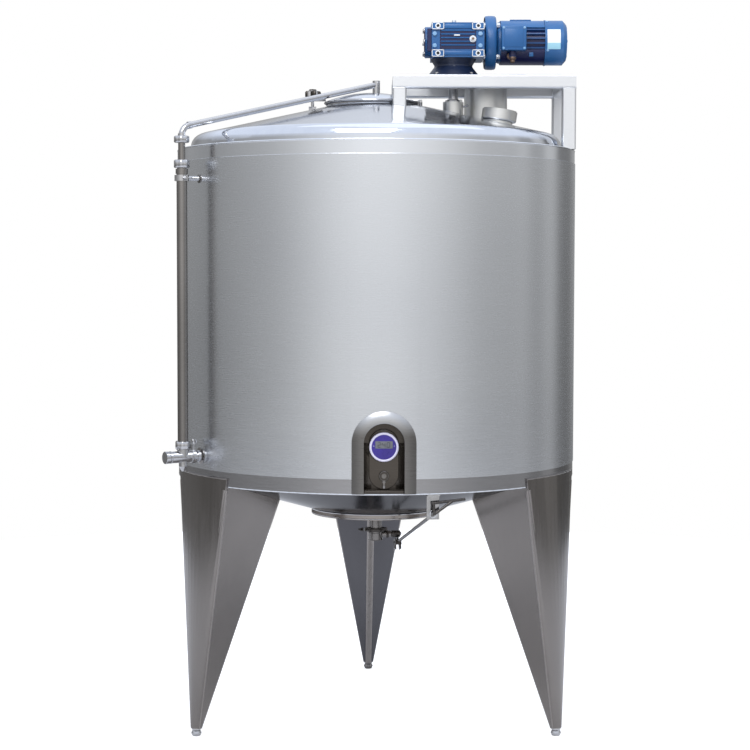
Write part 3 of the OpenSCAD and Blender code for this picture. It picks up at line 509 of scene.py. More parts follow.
def roofRing(x, y, radius, thick):
    # a weld bead that follows the roof round an upright tube: height is roofAt(distance from the axis)
    px, py = x + radius * np.cos(ringTurn), y + radius * np.sin(ringTurn)
    height = roofAt(0) - np.hypot(px, py) * math.tan(math.radians(tank["roofSlope"]))
    return carried(np.stack([px, py, height + 0.001], -1), circle(thick, 8), closed=True)


cap = {"x": 0.459, "y": -0.052, "neck": 0.052}
seal = {"x": 0.291, "radius": 0.039, "height": 0.052}
ringParts = [roofRing(vent["x"], vent["y"], vent["radius"] + 0.001, 0.0035),
             roofRing(seal["x"], 0, seal["radius"] + 0.001, 0.003),
             roofRing(manway["x"], 0, manway["radius"] - 0.008, 0.003)]
makePiece("roofWelds", ringParts, roofPolish)

sealTop = roofAt(seal["x"]) - 0.008 + seal["height"]
sealBolts = spunRound(hexHead((seal["x"] + 0.029, 0, sealTop), (0, 0, 1), 0.010, 0.006), evenTurns(6, 30),
                      (seal["x"], 0, 0))
sealRing = turned([(0.0185, 0), (0.0235, 0), (0.0235, 0.008), (0.022, 0.010), (0.0185, 0.010), (0.0185, 0)],
                  (seal["x"], 0, sealTop), sides=48)
grease = turned([(0, 0), (0.0035, 0), (0.0035, 0.014), (0.0055, 0.014), (0.0055, 0.018), (0, 0.021)],
                (seal["x"] + 0.038, -0.012, sealTop - 0.018), (1, -0.35, 0.25), 12)
makePiece("sealFittings", [sealBolts, sealRing, grease], fittingSteel)
print("roof dressed")


# Spray pipe: slotted union nuts, wing screws and wall flange

riser = {"turn": 212.6, "out": 0.820, "radius": 0.019, "nut": 0.0265}
riserAt = np.array((riser["out"] * math.cos(math.radians(riser["turn"])),
                    riser["out"] * math.sin(math.radians(riser["turn"])), 0.0))
outward = (math.cos(math.radians(riser["turn"])), math.sin(math.radians(riser["turn"])), 0.0)
level = (-outward[1], outward[0], 0.0)
pipeBase = min(corner[2] for corner in nodes["roof_pipe"].bound_box) + 0.001
topNut, unionNut, lowNut, clampZ, teeZ = pipeBase - 0.0125, top - 0.070, low + 0.143, top - 0.120, low + 0.101


def slottedNut(height, radius, tall):
    # round union nut: radius dips eight times round, with rolled ends
    return turned([(riser["radius"] * 0.7, -tall / 2), (radius - 0.003, -tall / 2), (radius, -tall / 2 + 0.003),
                   (radius, tall / 2 - 0.003), (radius - 0.003, tall / 2), (riser["radius"] * 0.7, tall / 2),
                   (riser["radius"] * 0.7, -tall / 2)],
                  riserAt + (0, 0, height), sides=64, lobes=8, lobeDepth=0.035)


nuts = [slottedNut(topNut, riser["nut"], 0.024), slottedNut(unionNut, riser["nut"] + 0.0006, 0.029),
        slottedNut(lowNut, riser["nut"], 0.030)]
makePiece("unionNuts", nuts, fittingSteel, crease=50)


def wingNut(at, along, flat):
    # a small cone with two rounded wings standing off it
    basis = axes(along, flat)
    hub = turned([(0, 0), (0.008, 0), (0.006, 0.010), (0, 0.010)], at, along, 18)
    wings = [roundedBlock((0.014, 0.004, 0.016), np.array(at) + basis[0] * 0.011 * way + basis[2] * 0.010, 0.0019,
                          along=basis[2] + basis[0] * 0.5 * way, side=basis[1]) for way in (-1, 1)]
    return [hub] + wings


wings = wingNut(riserAt + np.array(level) * 0.031 + (0, 0, clampZ), level, (0, 0, 1))
wings += wingNut(riserAt - np.array(outward) * 0.044 + (0, 0, teeZ + 0.043), (0, 0, 1), outward)
wallFlange = turned([(0, 0), (0.030, 0), (0.030, 0.003), (0.024, 0.006), (0, 0.006)],
                    riserAt - np.array(outward) * (riser["out"] - tank["wallRadius"] + 0.0005) + (0, 0, teeZ),
                    outward, 40)
clampFoot = turned([(0, 0), (0.016, 0), (0.016, 0.0025), (0.010, 0.005), (0, 0.005)],
                   riserAt - np.array(outward) * (riser["out"] - tank["wallRadius"] + 0.0005) + (0, 0, clampZ),
                   outward, 32)
teeCap = turned([(0, 0), (0.0215, 0), (0.0225, 0.001), (0.0225, 0.005), (0.0215, 0.006), (0, 0.006)],
                riserAt + np.array(outward) * 0.0665 + (0, 0, teeZ), outward, 40)
teeRings = [turned([(0.021 + 0.0018 * math.cos(a), 0.0018 * math.sin(a)) for a in np.linspace(0, 2 * math.pi, 9)],
                   riserAt + np.array(outward) * spot + (0, 0, teeZ), outward, 40) for spot in (-0.030, 0.050)]
makePiece("sprayPipeFittings", wings + [teeCap] + teeRings, fittingSteel)
# painted shade: the wall flanges take the darker fitting steel
makePiece("wallFlanges", [wallFlange, clampFoot], paintedShadeFittingSteel)
print("spray pipe dressed")


# Thermometer pocket: rolled frame carried round an arch, recess, back plate, dial and knob

pocket = {"turn": 272.1, "low": 0.930, "width": 0.222, "height": 0.284, "rim": 0.041, "wallOut": 0.7545,
          "rise": 0.0095, "back": 0.7055, "dialDrop": 0.013, "knobDrop": 0.099}
innerHalf = pocket["width"] / 2 - pocket["rim"]
archZ = pocket["low"] + pocket["height"] - pocket["width"] / 2
dialZ = archZ - pocket["dialDrop"]
knobZ = dialZ - pocket["knobDrop"]


def archSheet(profile, bottomZ, steps=40):
    # (out, depth) pairs carried up, round the arch and down: out is measured square to the opening's edge,
    # and depth is the distance from the tank's axis, so each point lies at y = -sqrt(depth^2 - x^2)
    profile = np.array(profile, float)
    rise = np.linspace(bottomZ, archZ, 12)[:-1]
    bend = np.linspace(np.pi, 0, steps)
    x = np.concatenate([np.full(11, -innerHalf), innerHalf * np.cos(bend), np.full(11, innerHalf)])
    z = np.concatenate([rise, archZ + innerHalf * np.sin(bend), rise[::-1]])
    outX = np.concatenate([np.full(11, -1.0), np.cos(bend), np.full(11, 1.0)])
    outZ = np.concatenate([np.zeros(11), np.sin(bend), np.zeros(11)])
    px = x[:, None] + outX[:, None] * profile[None, :, 0]
    pz = z[:, None] + outZ[:, None] * profile[None, :, 0]
    py = -np.sqrt(profile[None, :, 1] ** 2 - px ** 2)
    grid = np.stack([px, py, pz], -1)
    ends = [np.broadcast_to(grid[i:i + 1].mean(1, keepdims=True) if i == 0 else grid[-1:].mean(1, keepdims=True),
                            (1, grid.shape[1], 3)) for i in (0, 1)]
    grid = np.concatenate([ends[0], grid, ends[1]])
    return grid.reshape(-1, 3), gridFaces(len(grid), grid.shape[1], closeCols=True)


wallOut, back, rimWide = pocket["wallOut"], pocket["back"], pocket["rim"]
# the face stands out at the opening and falls away to the wall on a quarter curve:
# depth = wallOut - 2 mm + rise * cos(90 deg * share ^ 1.3)
face = [(rimWide * share, wallOut - 0.002 + pocket["rise"] * math.cos(0.5 * math.pi * share ** 1.3))
        for share in np.linspace(0.06, 1.0, 14)]
frameRing = [(0.0, back), (0.0, wallOut + 0.007)] + face + [(rimWide, wallOut - 0.012), (0.003, wallOut - 0.012),
                                                              (0.003, back)]
frameSheet = archSheet(frameRing, pocket["low"])
pocketTrim = makePiece("pocketTrim", [around(frameSheet, pocket["turn"])], frameSteel, crease=50)
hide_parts("pocket_frame")


def frontBox(size, x, z, depth, edge=0.002):
    # a block in front of the axis at that depth, carried round to the pocket later
    return roundedBlock(size, (x, -depth, z), edge)


sill = frontBox((innerHalf * 2 + 0.002, 0.044, 0.012), 0, pocket["low"] + 0.0065, wallOut - 0.026, 0.003)
sheetT = 0.0025
backSheet = frontBox((innerHalf * 2 + 0.001, sheetT, archZ - pocket["low"]), 0,
                     (archZ + pocket["low"]) / 2, back - 0.001, 0.001)
backRound = turned([(0, 0), (innerHalf + 0.0005, 0), (innerHalf + 0.0005, sheetT), (0, sheetT)],
                   (0, -back + sheetT / 2 + 0.001, archZ), (0, -1, 0), 72)
# painted shade: the recess's sill and back sheet in the dark steel
makePiece("pocketBack", [around(joined([sill, backSheet, backRound]), pocket["turn"])], darkSteel)

# long rounded plate that carries the dial and the knob, leaning out towards its lower end
plateHalf, plateLow, plateHigh = 0.051, pocket["low"] + 0.014, dialZ + 0.010
t = np.linspace(0, 2 * np.pi, 96, endpoint=False)
stadiumX = plateHalf * np.cos(t)
stadiumZ = np.where(np.sin(t) >= 0, plateHigh, plateLow + plateHalf) + plateHalf * np.sin(t)
lean = 0.712 + 0.012 * (plateHigh - stadiumZ) / (plateHigh - plateLow)


def stadiumAt(shrink, raised):
    centreZ = (plateLow + plateHigh) / 2
    return np.stack([stadiumX * shrink, -(lean + raised), centreZ + (stadiumZ - centreZ) * shrink], -1)


plateGrid = np.stack([stadiumAt(0.0, 0.0), stadiumAt(1.0, -0.006), stadiumAt(1.0, 0.004), stadiumAt(0.975, 0.006),
                      stadiumAt(0.5, 0.006), stadiumAt(0.0, 0.006)])
plateGrid[0, :, 1], plateGrid[-1, :, 1] = -0.712, -0.724
gaugePlate = plateGrid.reshape(-1, 3), gridFaces(6, 96, closeCols=True)
# painted shade: the gauge plate in the dark steel
makePiece("gaugePlate", [around(gaugePlate, pocket["turn"])], darkSteel)

dialFront = 0.738
dialRim = turned([(0.041, -0.016), (0.0505, -0.016), (0.0505, -0.003), (0.0495, 0.0005), (0.0465, 0.0022),
                  (0.0435, 0.0012), (0.042, -0.0015), (0.041, -0.016)], (0, -dialFront, dialZ), (0, -1, 0), 80)
makePiece("dialRim", [around(dialRim, pocket["turn"])], dialRimPlastic, crease=50)
dialFace = turned([(0, -0.002), (0.0425, -0.002), (0.0425, 0.0004), (0, 0.0004)], (0, -dialFront, dialZ),
                  (0, -1, 0), 80)
makePiece("dialFace", [around(dialFace, pocket["turn"])], dialFacePlastic)
display = frontBox((0.060, 0.003, 0.025), 0, dialZ + 0.008, dialFront + 0.0004, 0.0013)
makePiece("dialDisplay", [around(display, pocket["turn"])], displayGlass)

# digits of straight bars: top, upper left, upper right, middle, lower left, lower right, bottom
barSpots = {0: (0, 1, 1), 1: (-1, 0.5, 0), 2: (1, 0.5, 0), 3: (0, 0, 1), 4: (-1, -0.5, 0), 5: (1, -0.5, 0), 6: (0, -1, 1)}
digitBars = {"2": (0, 2, 3, 4, 6), "4": (1, 2, 3, 5), "0": (0, 1, 2, 4, 5, 6)}
digits = []
for number, left in zip("240", (-0.016, -0.001, 0.015)):
    for bar in digitBars[number]:
        across, upward, flat = barSpots[bar]
        size = (0.0085, 0.001, 0.0018) if flat else (0.0018, 0.001, 0.0072)
        digits.append(frontBox(size, left + 0.0046 * across, dialZ + 0.008 + 0.0080 * upward, dialFront + 0.0021, 0.0004))
digits.append(frontBox((0.0018, 0.001, 0.0018), 0.0070, dialZ + 0.0002, dialFront + 0.0021, 0.0004))
makePiece("dialDigits", [around(joined(digits), pocket["turn"])], displayInk)
pins = repeated(turned([(0, 0), (0.0013, 0), (0.0013, 0.001), (0, 0.0014)], (0, -dialFront, dialZ + 0.004), (0, -1, 0), 12),
                [(-0.035, 0, 0), (0.035, 0, 0)])
makePiece("dialPins", [around(pins, pocket["turn"])], bareMachined)

knobFront = 0.741
knobCap = turned([(0, -0.006), (0.0176, -0.006), (0.0178, -0.001), (0.016, 0.0012), (0.0145, 0.0012), (0.0135, -0.0006),
                  (0, -0.0006)], (0, -knobFront, knobZ), (0, -1, 0), 48)
knobStem = turned([(0, 0), (0.0085, 0), (0.0085, 0.026), (0, 0.026)], (0, -0.716, knobZ), (0, -1, 0), 24)
makePiece("knobCap", [around(joined([knobCap, knobStem]), pocket["turn"])], paintedShadeFittingSteel)
knobBlade = joined([frontBox((0.0095, 0.010, 0.030), 0, knobZ - 0.030, 0.737, 0.0035),
                    frontBox((0.013, 0.005, 0.010), 0, knobZ - 0.019, 0.735, 0.002)])
makePiece("knobBlade", [around(knobBlade, pocket["turn"])], paintedShadeFittingSteel)
print("pocket dressed")


# Drive: pads, bolts, plug and plate on the gear housing; flange nuts, lid, gland, lug and cowl on the motor

gear = {"x": 0.304, "width": 0.196, "depth": 0.190, "low": 2.488, "height": 0.128, "padWide": 0.046, "padHigh": 0.027,
        "padOut": 0.008, "foot": 2.412, "footRadius": 0.098, "coverRadius": 0.058}
motor = {"y": 0.050, "z": 2.557, "flangeX": 0.402, "flangeRadius": 0.100, "x": 0.468, "length": 0.167, "radius": 0.082,
         "cowl": 0.084}
front = -gear["depth"] / 2 - gear["padOut"]
padFrames, padBores = [], []
for way in (-1, 1):
    face = way * (gear["depth"] / 2 + gear["padOut"])
    for sideX in (-1, 1):
        for upZ in (0, 1):
            cx = gear["x"] + sideX * (gear["width"] - gear["padWide"]) / 2
            cz = gear["low"] + gear["padHigh"] / 2 + upZ * (gear["height"] - gear["padHigh"])
            wide, high, strip = gear["padWide"], gear["padHigh"], 0.0034
            for dx, dz, sx, sz in ((0, high / 2 - strip / 2, wide, strip), (0, strip / 2 - high / 2, wide, strip),
                                   (wide / 2 - strip / 2, 0, strip, high), (strip / 2 - wide / 2, 0, strip, high)):
                padFrames.append(roundedBlock((sx, 0.0018, sz), (cx + dx, face, cz + dz), 0.0007, 2))
            padFrames.append(turned([(0.0058, 0), (0.0100, 0), (0.0100, 0.0012), (0.0058, 0.0012), (0.0058, 0)],
                                    (cx, face, cz), (0, way, 0), 28))
            padBores.append(turned([(0, 0), (0.0058, 0), (0.0058, 0.0006), (0, 0.0006)], (cx, face, cz), (0, way, 0), 24))
makePiece("padEdges", padFrames, bareMachined)
makePiece("padBores", padBores, paintedShadeBlack)

ribbed = gear["height"] - 2 * gear["padHigh"]
midZ = gear["low"] + gear["height"] / 2
railParts, slotParts, boltParts = [], [], []
for way in (-1, 1):
    face = way * gear["depth"] / 2
    for upZ in (-1, 1):
        railParts.append(roundedBlock((gear["width"] - 2 * gear["padWide"] + 0.002, 0.011, 0.017),
                                      (gear["x"], face, midZ + upZ * (ribbed / 2 + 0.012)), 0.004))
    for k in range(5):
        z = midZ + (k - 2) * 0.0135
        railParts.append(roundedBlock((0.128, 0.011, 0.0048), (gear["x"], face, z + 0.0067), 0.0018, 2))
    for dx in (-0.087, 0.083):
        for dz in (-0.022, 0.022):
            boltParts.append(turned([(0, 0), (0.0085, 0), (0.0075, 0.008), (0, 0.009)],
                                    (gear["x"] + dx, face, midZ + dz), (0, way, 0), 20))
slotParts = [roundedBlock((0.134, 0.0015, ribbed - 0.004), (gear["x"], way * (gear["depth"] / 2 + 0.0004), midZ), 0.0006, 2)
             for way in (-1, 1)]
makePiece("housingRibs", railParts, bluePaint)
makePiece("housingShade", slotParts, paintedShadeNavy)
makePiece("housingBosses", boltParts, paintedHighlightBlue)

plugX, plugZ = gear["x"] + 0.055, midZ + 0.002
plugFace = -gear["depth"] / 2 - 0.005
plug = joined([turned([(0, 0), (0.0125, 0), (0.0125, 0.003), (0, 0.003)], (plugX, plugFace, plugZ), (0, -1, 0), 28),
               turned([(0, 0.003), (0.0092, 0.003), (0.0092, 0.009), (0.008, 0.0105), (0, 0.0105)],
                      (plugX, plugFace, plugZ), (0, -1, 0), 6)])
breather = turned([(0, 0), (0.009, 0), (0.009, 0.004), (0.006, 0.006), (0.006, 0.011), (0.008, 0.012), (0.008, 0.017),
                   (0, 0.019)], (gear["x"] - 0.012, -0.020, gear["low"] + gear["height"] - 0.001), (0, 0, 1), 20)
barePlate = roundedBlock((0.022, 0.0012, 0.0055), (gear["x"] - 0.004, -gear["depth"] / 2 - 0.0066, midZ + 0.016), 0.0005, 2)
makePiece("oilPlugAndBreather", [plug, breather, barePlate], bareMachined)
sightGlass = turned([(0, 0), (0.005, 0), (0.005, 0.0012), (0, 0.0016)], (plugX, plugFace - 0.0105, plugZ), (0, -1, 0), 20)
makePiece("oilSightGlass", [sightGlass], glandBrass)

# side cover: a turned disc with fins and bolts on the housing's outer face
coverX = gear["x"] - gear["width"] / 2
cover = turned([(0, 0.004), (0.020, 0.004), (0.024, 0), (0.044, 0), (0.046, 0.003), (0.054, 0.003), (0.058, -0.002),
                (0.058, -0.014), (0, -0.014)], (coverX - 0.022, 0, midZ), (-1, 0, 0), 64)
coverFins = repeated(roundedBlock((0.016, 0.004, 0.084), (coverX - 0.008, 0, midZ), 0.0015, 2),
                     [(0, y, 0) for y in (-0.088, -0.080, -0.072, 0.072, 0.080, 0.088)])
makePiece("sideCover", [cover, coverFins], paintedShadeNavy)
coverBolts = spunRound(hexHead((coverX - 0.025, 0, midZ + 0.050), (-1, 0, 0), 0.010, 0.006), evenTurns(6, 30),
                       (coverX, 0, midZ), (1, 0, 0))
footBolts = spunRound(hexHead((seal["x"] + 0.087, 0, gear["foot"] + 0.014), (0, 0, 1), 0.017, 0.010), evenTurns(4, 45),
                      (seal["x"], 0, 0))
makePiece("coverAndFootBolts", [coverBolts, footBolts], fittingSteel)

# gussets between the foot's flange and the housing
gussetHigh = gear["low"] - gear["foot"] - 0.012
gusset = joined([carried(np.stack([np.linspace(0.060, 0.093, 8) + seal["x"], np.zeros(8),
                                   gear["foot"] + 0.010 + gussetHigh * (1 - np.linspace(0, 1, 8)) ** 1.6], -1),
                         [(-0.004, -0.010), (0.004, -0.010), (0.004, 0.003), (-0.004, 0.003)], up=(0, 0, 1))])
makePiece("footGussets", [spunRound(gusset, evenTurns(4), (seal["x"], 0, 0))], darkCasting)
footShine = turned([(0.0735, 0.0142), (0.0975, 0.0142), (0.0980, 0.0125), (0.0980, 0.0025), (0.0975, 0.0005),
                    (0.0735, 0.0005), (0.0735, 0.0142)], (seal["x"], 0, gear["foot"]), sides=96)
makePiece("footFlangeRim", [footShine], darkCasting, crease=50)

# motor: bolts through the flange, smooth cast panels over and under the fins, the lower one and the gaps between the
# fins in painted shade
flangeBolts = spunRound(joined([hexHead((motor["flangeX"] + 0.050, motor["y"], motor["z"] + 0.082), (1, 0, 0), 0.016, 0.014),
                                hexHead((motor["flangeX"] + 0.008, motor["y"], motor["z"] + 0.082), (-1, 0, 0), 0.016, 0.006)]),
                        evenTurns(4, 45), (motor["flangeX"], motor["y"], motor["z"]), (1, 0, 0))
makePiece("flangeBolts", [flangeBolts], bareMachined)
flangeStep = turned([(0.084, 0.0), (0.0965, 0.0), (0.1, 0.004), (0.1012, 0.014), (0.1012, 0.028), (0.1, 0.038),
                     (0.0965, 0.042), (0.084, 0.042), (0.084, 0.0)],
                    (motor["flangeX"] + 0.008, motor["y"], motor["z"]), (1, 0, 0), 96)
bell = turned([(0.060, 0.0), (0.074, 0.0), (0.0775, 0.006), (0.0775, 0.014), (0.060, 0.014), (0.060, 0.0)],
              (motor["x"] - 0.012, motor["y"], motor["z"]), (1, 0, 0), 72)
makePiece("flangeRim", [flangeStep, bell], bluePaint, crease=50)


def bodyPanel(startTurn, endTurn, inner, outer, x0, x1):
    # part of a tube round the motor's line: angle from straight up towards the front
    angle = np.radians(np.linspace(startTurn, endTurn, 40))
    ring = [(inner, x0), (outer, x0 + 0.001), (outer, x1 - 0.001), (inner, x1)]
    grid = np.stack([np.stack([np.full(40, x), motor["y"] - r * np.sin(angle), motor["z"] + r * np.cos(angle)], -1)
                     for r, x in ring], 1)
    ends = [np.broadcast_to(grid[i].mean(0)[None, None], (1, 4, 3)) for i in (0, -1)]
    grid = np.concatenate([ends[0], grid, ends[1]])
    return grid.reshape(-1, 3), gridFaces(42, 4, closeCols=True)


bodyX0, bodyX1 = motor["x"] + 0.001, motor["x"] + motor["length"]
makePiece("motorTopPanel", [bodyPanel(-52, 52, 0.068, 0.0835, bodyX0, bodyX1)], bluePaint)
makePiece("motorLowPanel", [bodyPanel(113, 205, 0.068, 0.0835, bodyX0, bodyX1)], paintedShadeNavy)
makePiece("finShade", [bodyPanel(52, 308, 0.066, 0.0712, bodyX0, bodyX1)], paintedShadeNavy)

box = {"x": 0.469, "wide": 0.090, "y": -0.070, "low": 2.517, "high": 2.605}
boxMid = (box["x"] + box["wide"] / 2, box["y"], (box["low"] + box["high"]) / 2)
boxHigh = box["high"] - box["low"]
boxLid = [roundedBlock((box["wide"] + 0.003, 0.012, boxHigh + 0.003), (boxMid[0], box["y"] - 0.0035, boxMid[2]), 0.004, 4),
          roundedBlock((box["wide"] - 0.020, 0.003, boxHigh - 0.020), (boxMid[0], box["y"] - 0.0100, boxMid[2]), 0.0014, 3)]
makePiece("terminalLid", boxLid, bluePaint)
lidGasket = roundedBlock((box["wide"] + 0.001, 0.002, boxHigh + 0.001), (boxMid[0], box["y"] + 0.0035, boxMid[2]), 0.0009, 2)
makePiece("terminalGasket", [lidGasket], gasketRubber)
lidScrews = repeated(turned([(0, 0), (0.0048, 0), (0.0048, 0.002), (0.003, 0.0034), (0, 0.0034)],
                            (boxMid[0], box["y"] - 0.0092, boxMid[2]), (0, -1, 0), 20),
                     [(dx, 0, dz) for dx in (-0.039, 0.039) for dz in (-0.038, 0.038)])
cowlScrews = spunRound(turned([(0, 0), (0.0048, 0), (0.0048, 0.002), (0.003, 0.0034), (0, 0.0034)],
                              (bodyX1 + 0.010, motor["y"], motor["z"] + 0.0838), (0, 0, 1), 20),
                       np.radians([25, 115, 205, 295]), (0, motor["y"], motor["z"]), (1, 0, 0))
makePiece("coverScrews", [lidScrews, cowlScrews], paintedHighlightBlue)
gland = joined([turned([(0, 0), (0.0125, 0), (0.0135, 0.002), (0.0135, 0.009), (0.0125, 0.010), (0.0095, 0.012),
                        (0.0095, 0.020), (0.0065, 0.023), (0.0055, 0.023), (0.0055, 0.019), (0, 0.019)],
                       (motor["x"] + 0.043, motor["y"] - motor["radius"] - 0.012, 2.4955), (0, 0, -1), 12),
                turned([(0, 0), (0.014, 0), (0.0145, 0.003), (0.0135, 0.011), (0.010, 0.013), (0, 0.013)],
                       (motor["x"] + 0.036, motor["y"] - 0.074, motor["z"] - 0.056), (0, -1, -0.35), 24)])
makePiece("cableGland", [gland], glandBrass)
# painted shade: a navy sleeve over the neck above the gland
glandNeck = turned([(0.0128, 0), (0.0142, 0.0015), (0.0142, 0.0195), (0.0128, 0.021), (0.0128, 0)],
                   (motor["x"] + 0.043, motor["y"] - motor["radius"] - 0.012, motor["z"] - 0.0615), sides=36)
makePiece("glandNeck", [glandNeck], paintedShadeNavy)
earthBoss = [roundedBlock((0.017, 0.012, 0.017), (motor["x"] + 0.115, motor["y"] - 0.066, motor["z"] - 0.050), 0.003),
             roundedBlock((0.080, 0.016, 0.006), (motor["x"] + 0.078, motor["y"] - 0.010, motor["z"] + 0.0835), 0.002)]
makePiece("earthBoss", earthBoss, bluePaint)

# fan cowl: rolled front lip, ring grille in the end, and a bare plate on the side
cowlX = bodyX1
lip = turned([(motor["radius"] + 0.0008, 0), (motor["radius"] + 0.0035, 0.0005), (motor["radius"] + 0.0042, 0.003),
              (motor["radius"] + 0.0035, 0.0058), (motor["radius"] + 0.0008, 0.006), (motor["radius"] + 0.0008, 0)],
             (cowlX, motor["y"], motor["z"]), (1, 0, 0), 80)
makePiece("cowlLip", [lip], bluePaint, crease=50)
grille = [turned([(r, 0), (r + 0.004, 0), (r + 0.004, 0.0015), (r, 0.0015), (r, 0)],
                 (cowlX + motor["cowl"] - 0.0005, motor["y"], motor["z"]), (1, 0, 0), 56)
          for r in (0.018, 0.027, 0.036, 0.045, 0.054)]
makePiece("cowlGrille", grille, paintedShadeBlack)
bars = spunRound(roundedBlock((0.003, 0.010, 0.064), (cowlX + motor["cowl"] + 0.0002, motor["y"], motor["z"] + 0.032), 0.0012, 2),
                 evenTurns(6, 30), (cowlX, motor["y"], motor["z"]), (1, 0, 0))
hubDisc = turned([(0, 0), (0.016, 0), (0.015, 0.0025), (0, 0.003)], (cowlX + motor["cowl"] - 0.0005, motor["y"], motor["z"]),
                 (1, 0, 0), 40)
makePiece("grilleBars", [bars, hubDisc], bluePaint)
sideR = motor["radius"] + 0.0022
makePiece("motorPlate", [bodyPanel(60, 104, sideR, sideR + 0.001, cowlX + 0.008, cowlX + 0.058)], plateWhite)
makePiece("motorPlateEdge", [bodyPanel(96, 112, sideR, sideR + 0.0012, cowlX + 0.008, cowlX + 0.058)], plateCyan)
print("drive dressed")


# Stand: weld beads at the frame's joints

stand = {"in": 0.085, "out": 0.708, "y": 0.190, "half": 0.025, "beamLow": 2.362, "top": 2.412}


def squareLoop(x, y, z, half, thick):
    # a bead round a square tube: a rounded square path at one height
    t = np.linspace(0, 2 * np.pi, 48, endpoint=False)
    power = 0.22
    px = half * np.sign(np.cos(t)) * np.abs(np.cos(t)) ** power
    py = half * np.sign(np.sin(t)) * np.abs(np.sin(t)) ** power
    return carried(np.stack([x + px, y + py, np.full(48, z)], -1), circle(thick, 6), closed=True)


postWelds = [squareLoop(x, y, stand["beamLow"], stand["half"], 0.0016)
             for x in (stand["in"], stand["out"]) for y in (-stand["y"], stand["y"])]
makePiece("standWelds", postWelds, standTube, crease=60)
print("stand dressed")


# Outlet and valve: clamp wing nut, valve rings and lever boss

outlet = {"turn": 8.7, "hub": 0.6845, "ferrule": 0.7035, "pinY": 0.02555, "pinZ": 0.64749, "leverX": 0.088}
stemAlong = (math.cos(math.radians(outlet["turn"])), math.sin(math.radians(outlet["turn"])), 0)
across = (-stemAlong[1], stemAlong[0], 0)


def atStem(x, y, z):
    return np.array(stemAlong) * x + np.array(across) * y + np.array((0, 0, z))


clampParts = wingNut(atStem(-0.048, 0, outlet["ferrule"]), (-stemAlong[0], -stemAlong[1], 0), (0, 0, 1))
clampParts += [turned([(0.0388 + 0.0018 * math.cos(a), 0.0045 * math.sin(a)) for a in np.linspace(0, 2 * math.pi, 13)],
                      (0, 0, outlet["ferrule"]), sides=56),
               turned([(0, 0), (0.0150, 0), (0.0160, 0.002), (0.0160, 0.007), (0.0145, 0.009), (0, 0.009)],
                      atStem(0.040, 0, outlet["hub"]), stemAlong, 6)]
makePiece("outletClampNut", clampParts, paintedShadeRod)
valveRings = [turned([(0.0265 + 0.0016 * math.cos(a), z + 0.0016 * math.sin(a)) for a in np.linspace(0, 2 * math.pi, 9)],
                     sides=56) for z in (0.6640, 0.6905)]
makePiece("valveRings", valveRings, paintedShadeFittingSteel)
leverBoss = [hexHead(atStem(outlet["leverX"] + 0.0055, 0, outlet["hub"]), stemAlong, 0.014, 0.006)]
makePiece("leverNut", leverBoss, fittingSteel, body="valve_lever")
print("valve dressed")


# Studio: floor, world, lamps and camera

studio = {
    "floorRadius": 5.0, "floorColor": "#e0e0e2", "floorGlow": 0.66, "mirrorGlow": 0.08, "keyPower": 170.0, "topPower": 20.0,
    "skyTone": (0.80, 0.85, 0.95),
}

floorShape = turned([(0, 0), (studio["floorRadius"], 0)], sides=96)
floorMesh = bpy.data.meshes.new("floor")
floorMesh.from_pydata(floorShape[0].tolist(), [], floorShape[1].tolist())
floor = bpy.data.objects.new("floor", floorMesh)
bpy.context.scene.collection.objects.link(floor)
floorMaterial, tree, shader, place = startMaterial("paleStudioFloor")
shader.inputs["Roughness"].default_value = 0.9
shader.inputs["Specular IOR Level"].default_value = 0.1
shader.inputs["Base Color"].default_value = toLinear(studio["floorColor"])
lightPath = addNode(tree, "ShaderNodeLightPath")
cameraGlow = addNode(tree, "ShaderNodeMath", {"operation": "MULTIPLY"},
                     {0: lightPath.outputs["Is Camera Ray"], 1: studio["floorGlow"]})
seenGlow = addNode(tree, "ShaderNodeMath", {"operation": "MULTIPLY_ADD"},
                   {0: lightPath.outputs["Is Glossy Ray"], 1: studio["mirrorGlow"], 2: cameraGlow.outputs[0]})
tree.links.new(seenGlow.outputs[0], shader.inputs["Emission Strength"])
shader.inputs["Emission Color"].default_value = (1, 1, 1, 1)
floorMesh.materials.append(floorMaterial)

# world: a pale room whose tone follows the direction round the tank, with a paler sky, white behind the object
world = bpy.data.worlds.new("paleStudio")
bpy.context.scene.world = world
world.use_nodes = True
tree = world.node_tree
background = tree.nodes["Background"]
way = addNode(tree, "ShaderNodeSeparateXYZ", inputs={
    "Vector": addNode(tree, "ShaderNodeTexCoord").outputs["Generated"]})
toFront = addNode(tree, "ShaderNodeMath", {"operation": "MULTIPLY"}, {0: way.outputs["Y"], 1: -1.0})
turn = addNode(tree, "ShaderNodeMath", {"operation": "ARCTAN2"}, {0: way.outputs["X"], 1: toFront.outputs[0]})
share = addNode(tree, "ShaderNodeMapRange", inputs={
    "Value": turn.outputs[0], "From Min": -math.pi, "From Max": math.pi})
roomTone = addNode(tree, "ShaderNodeValToRGB", inputs={"Fac": share.outputs["Result"]})
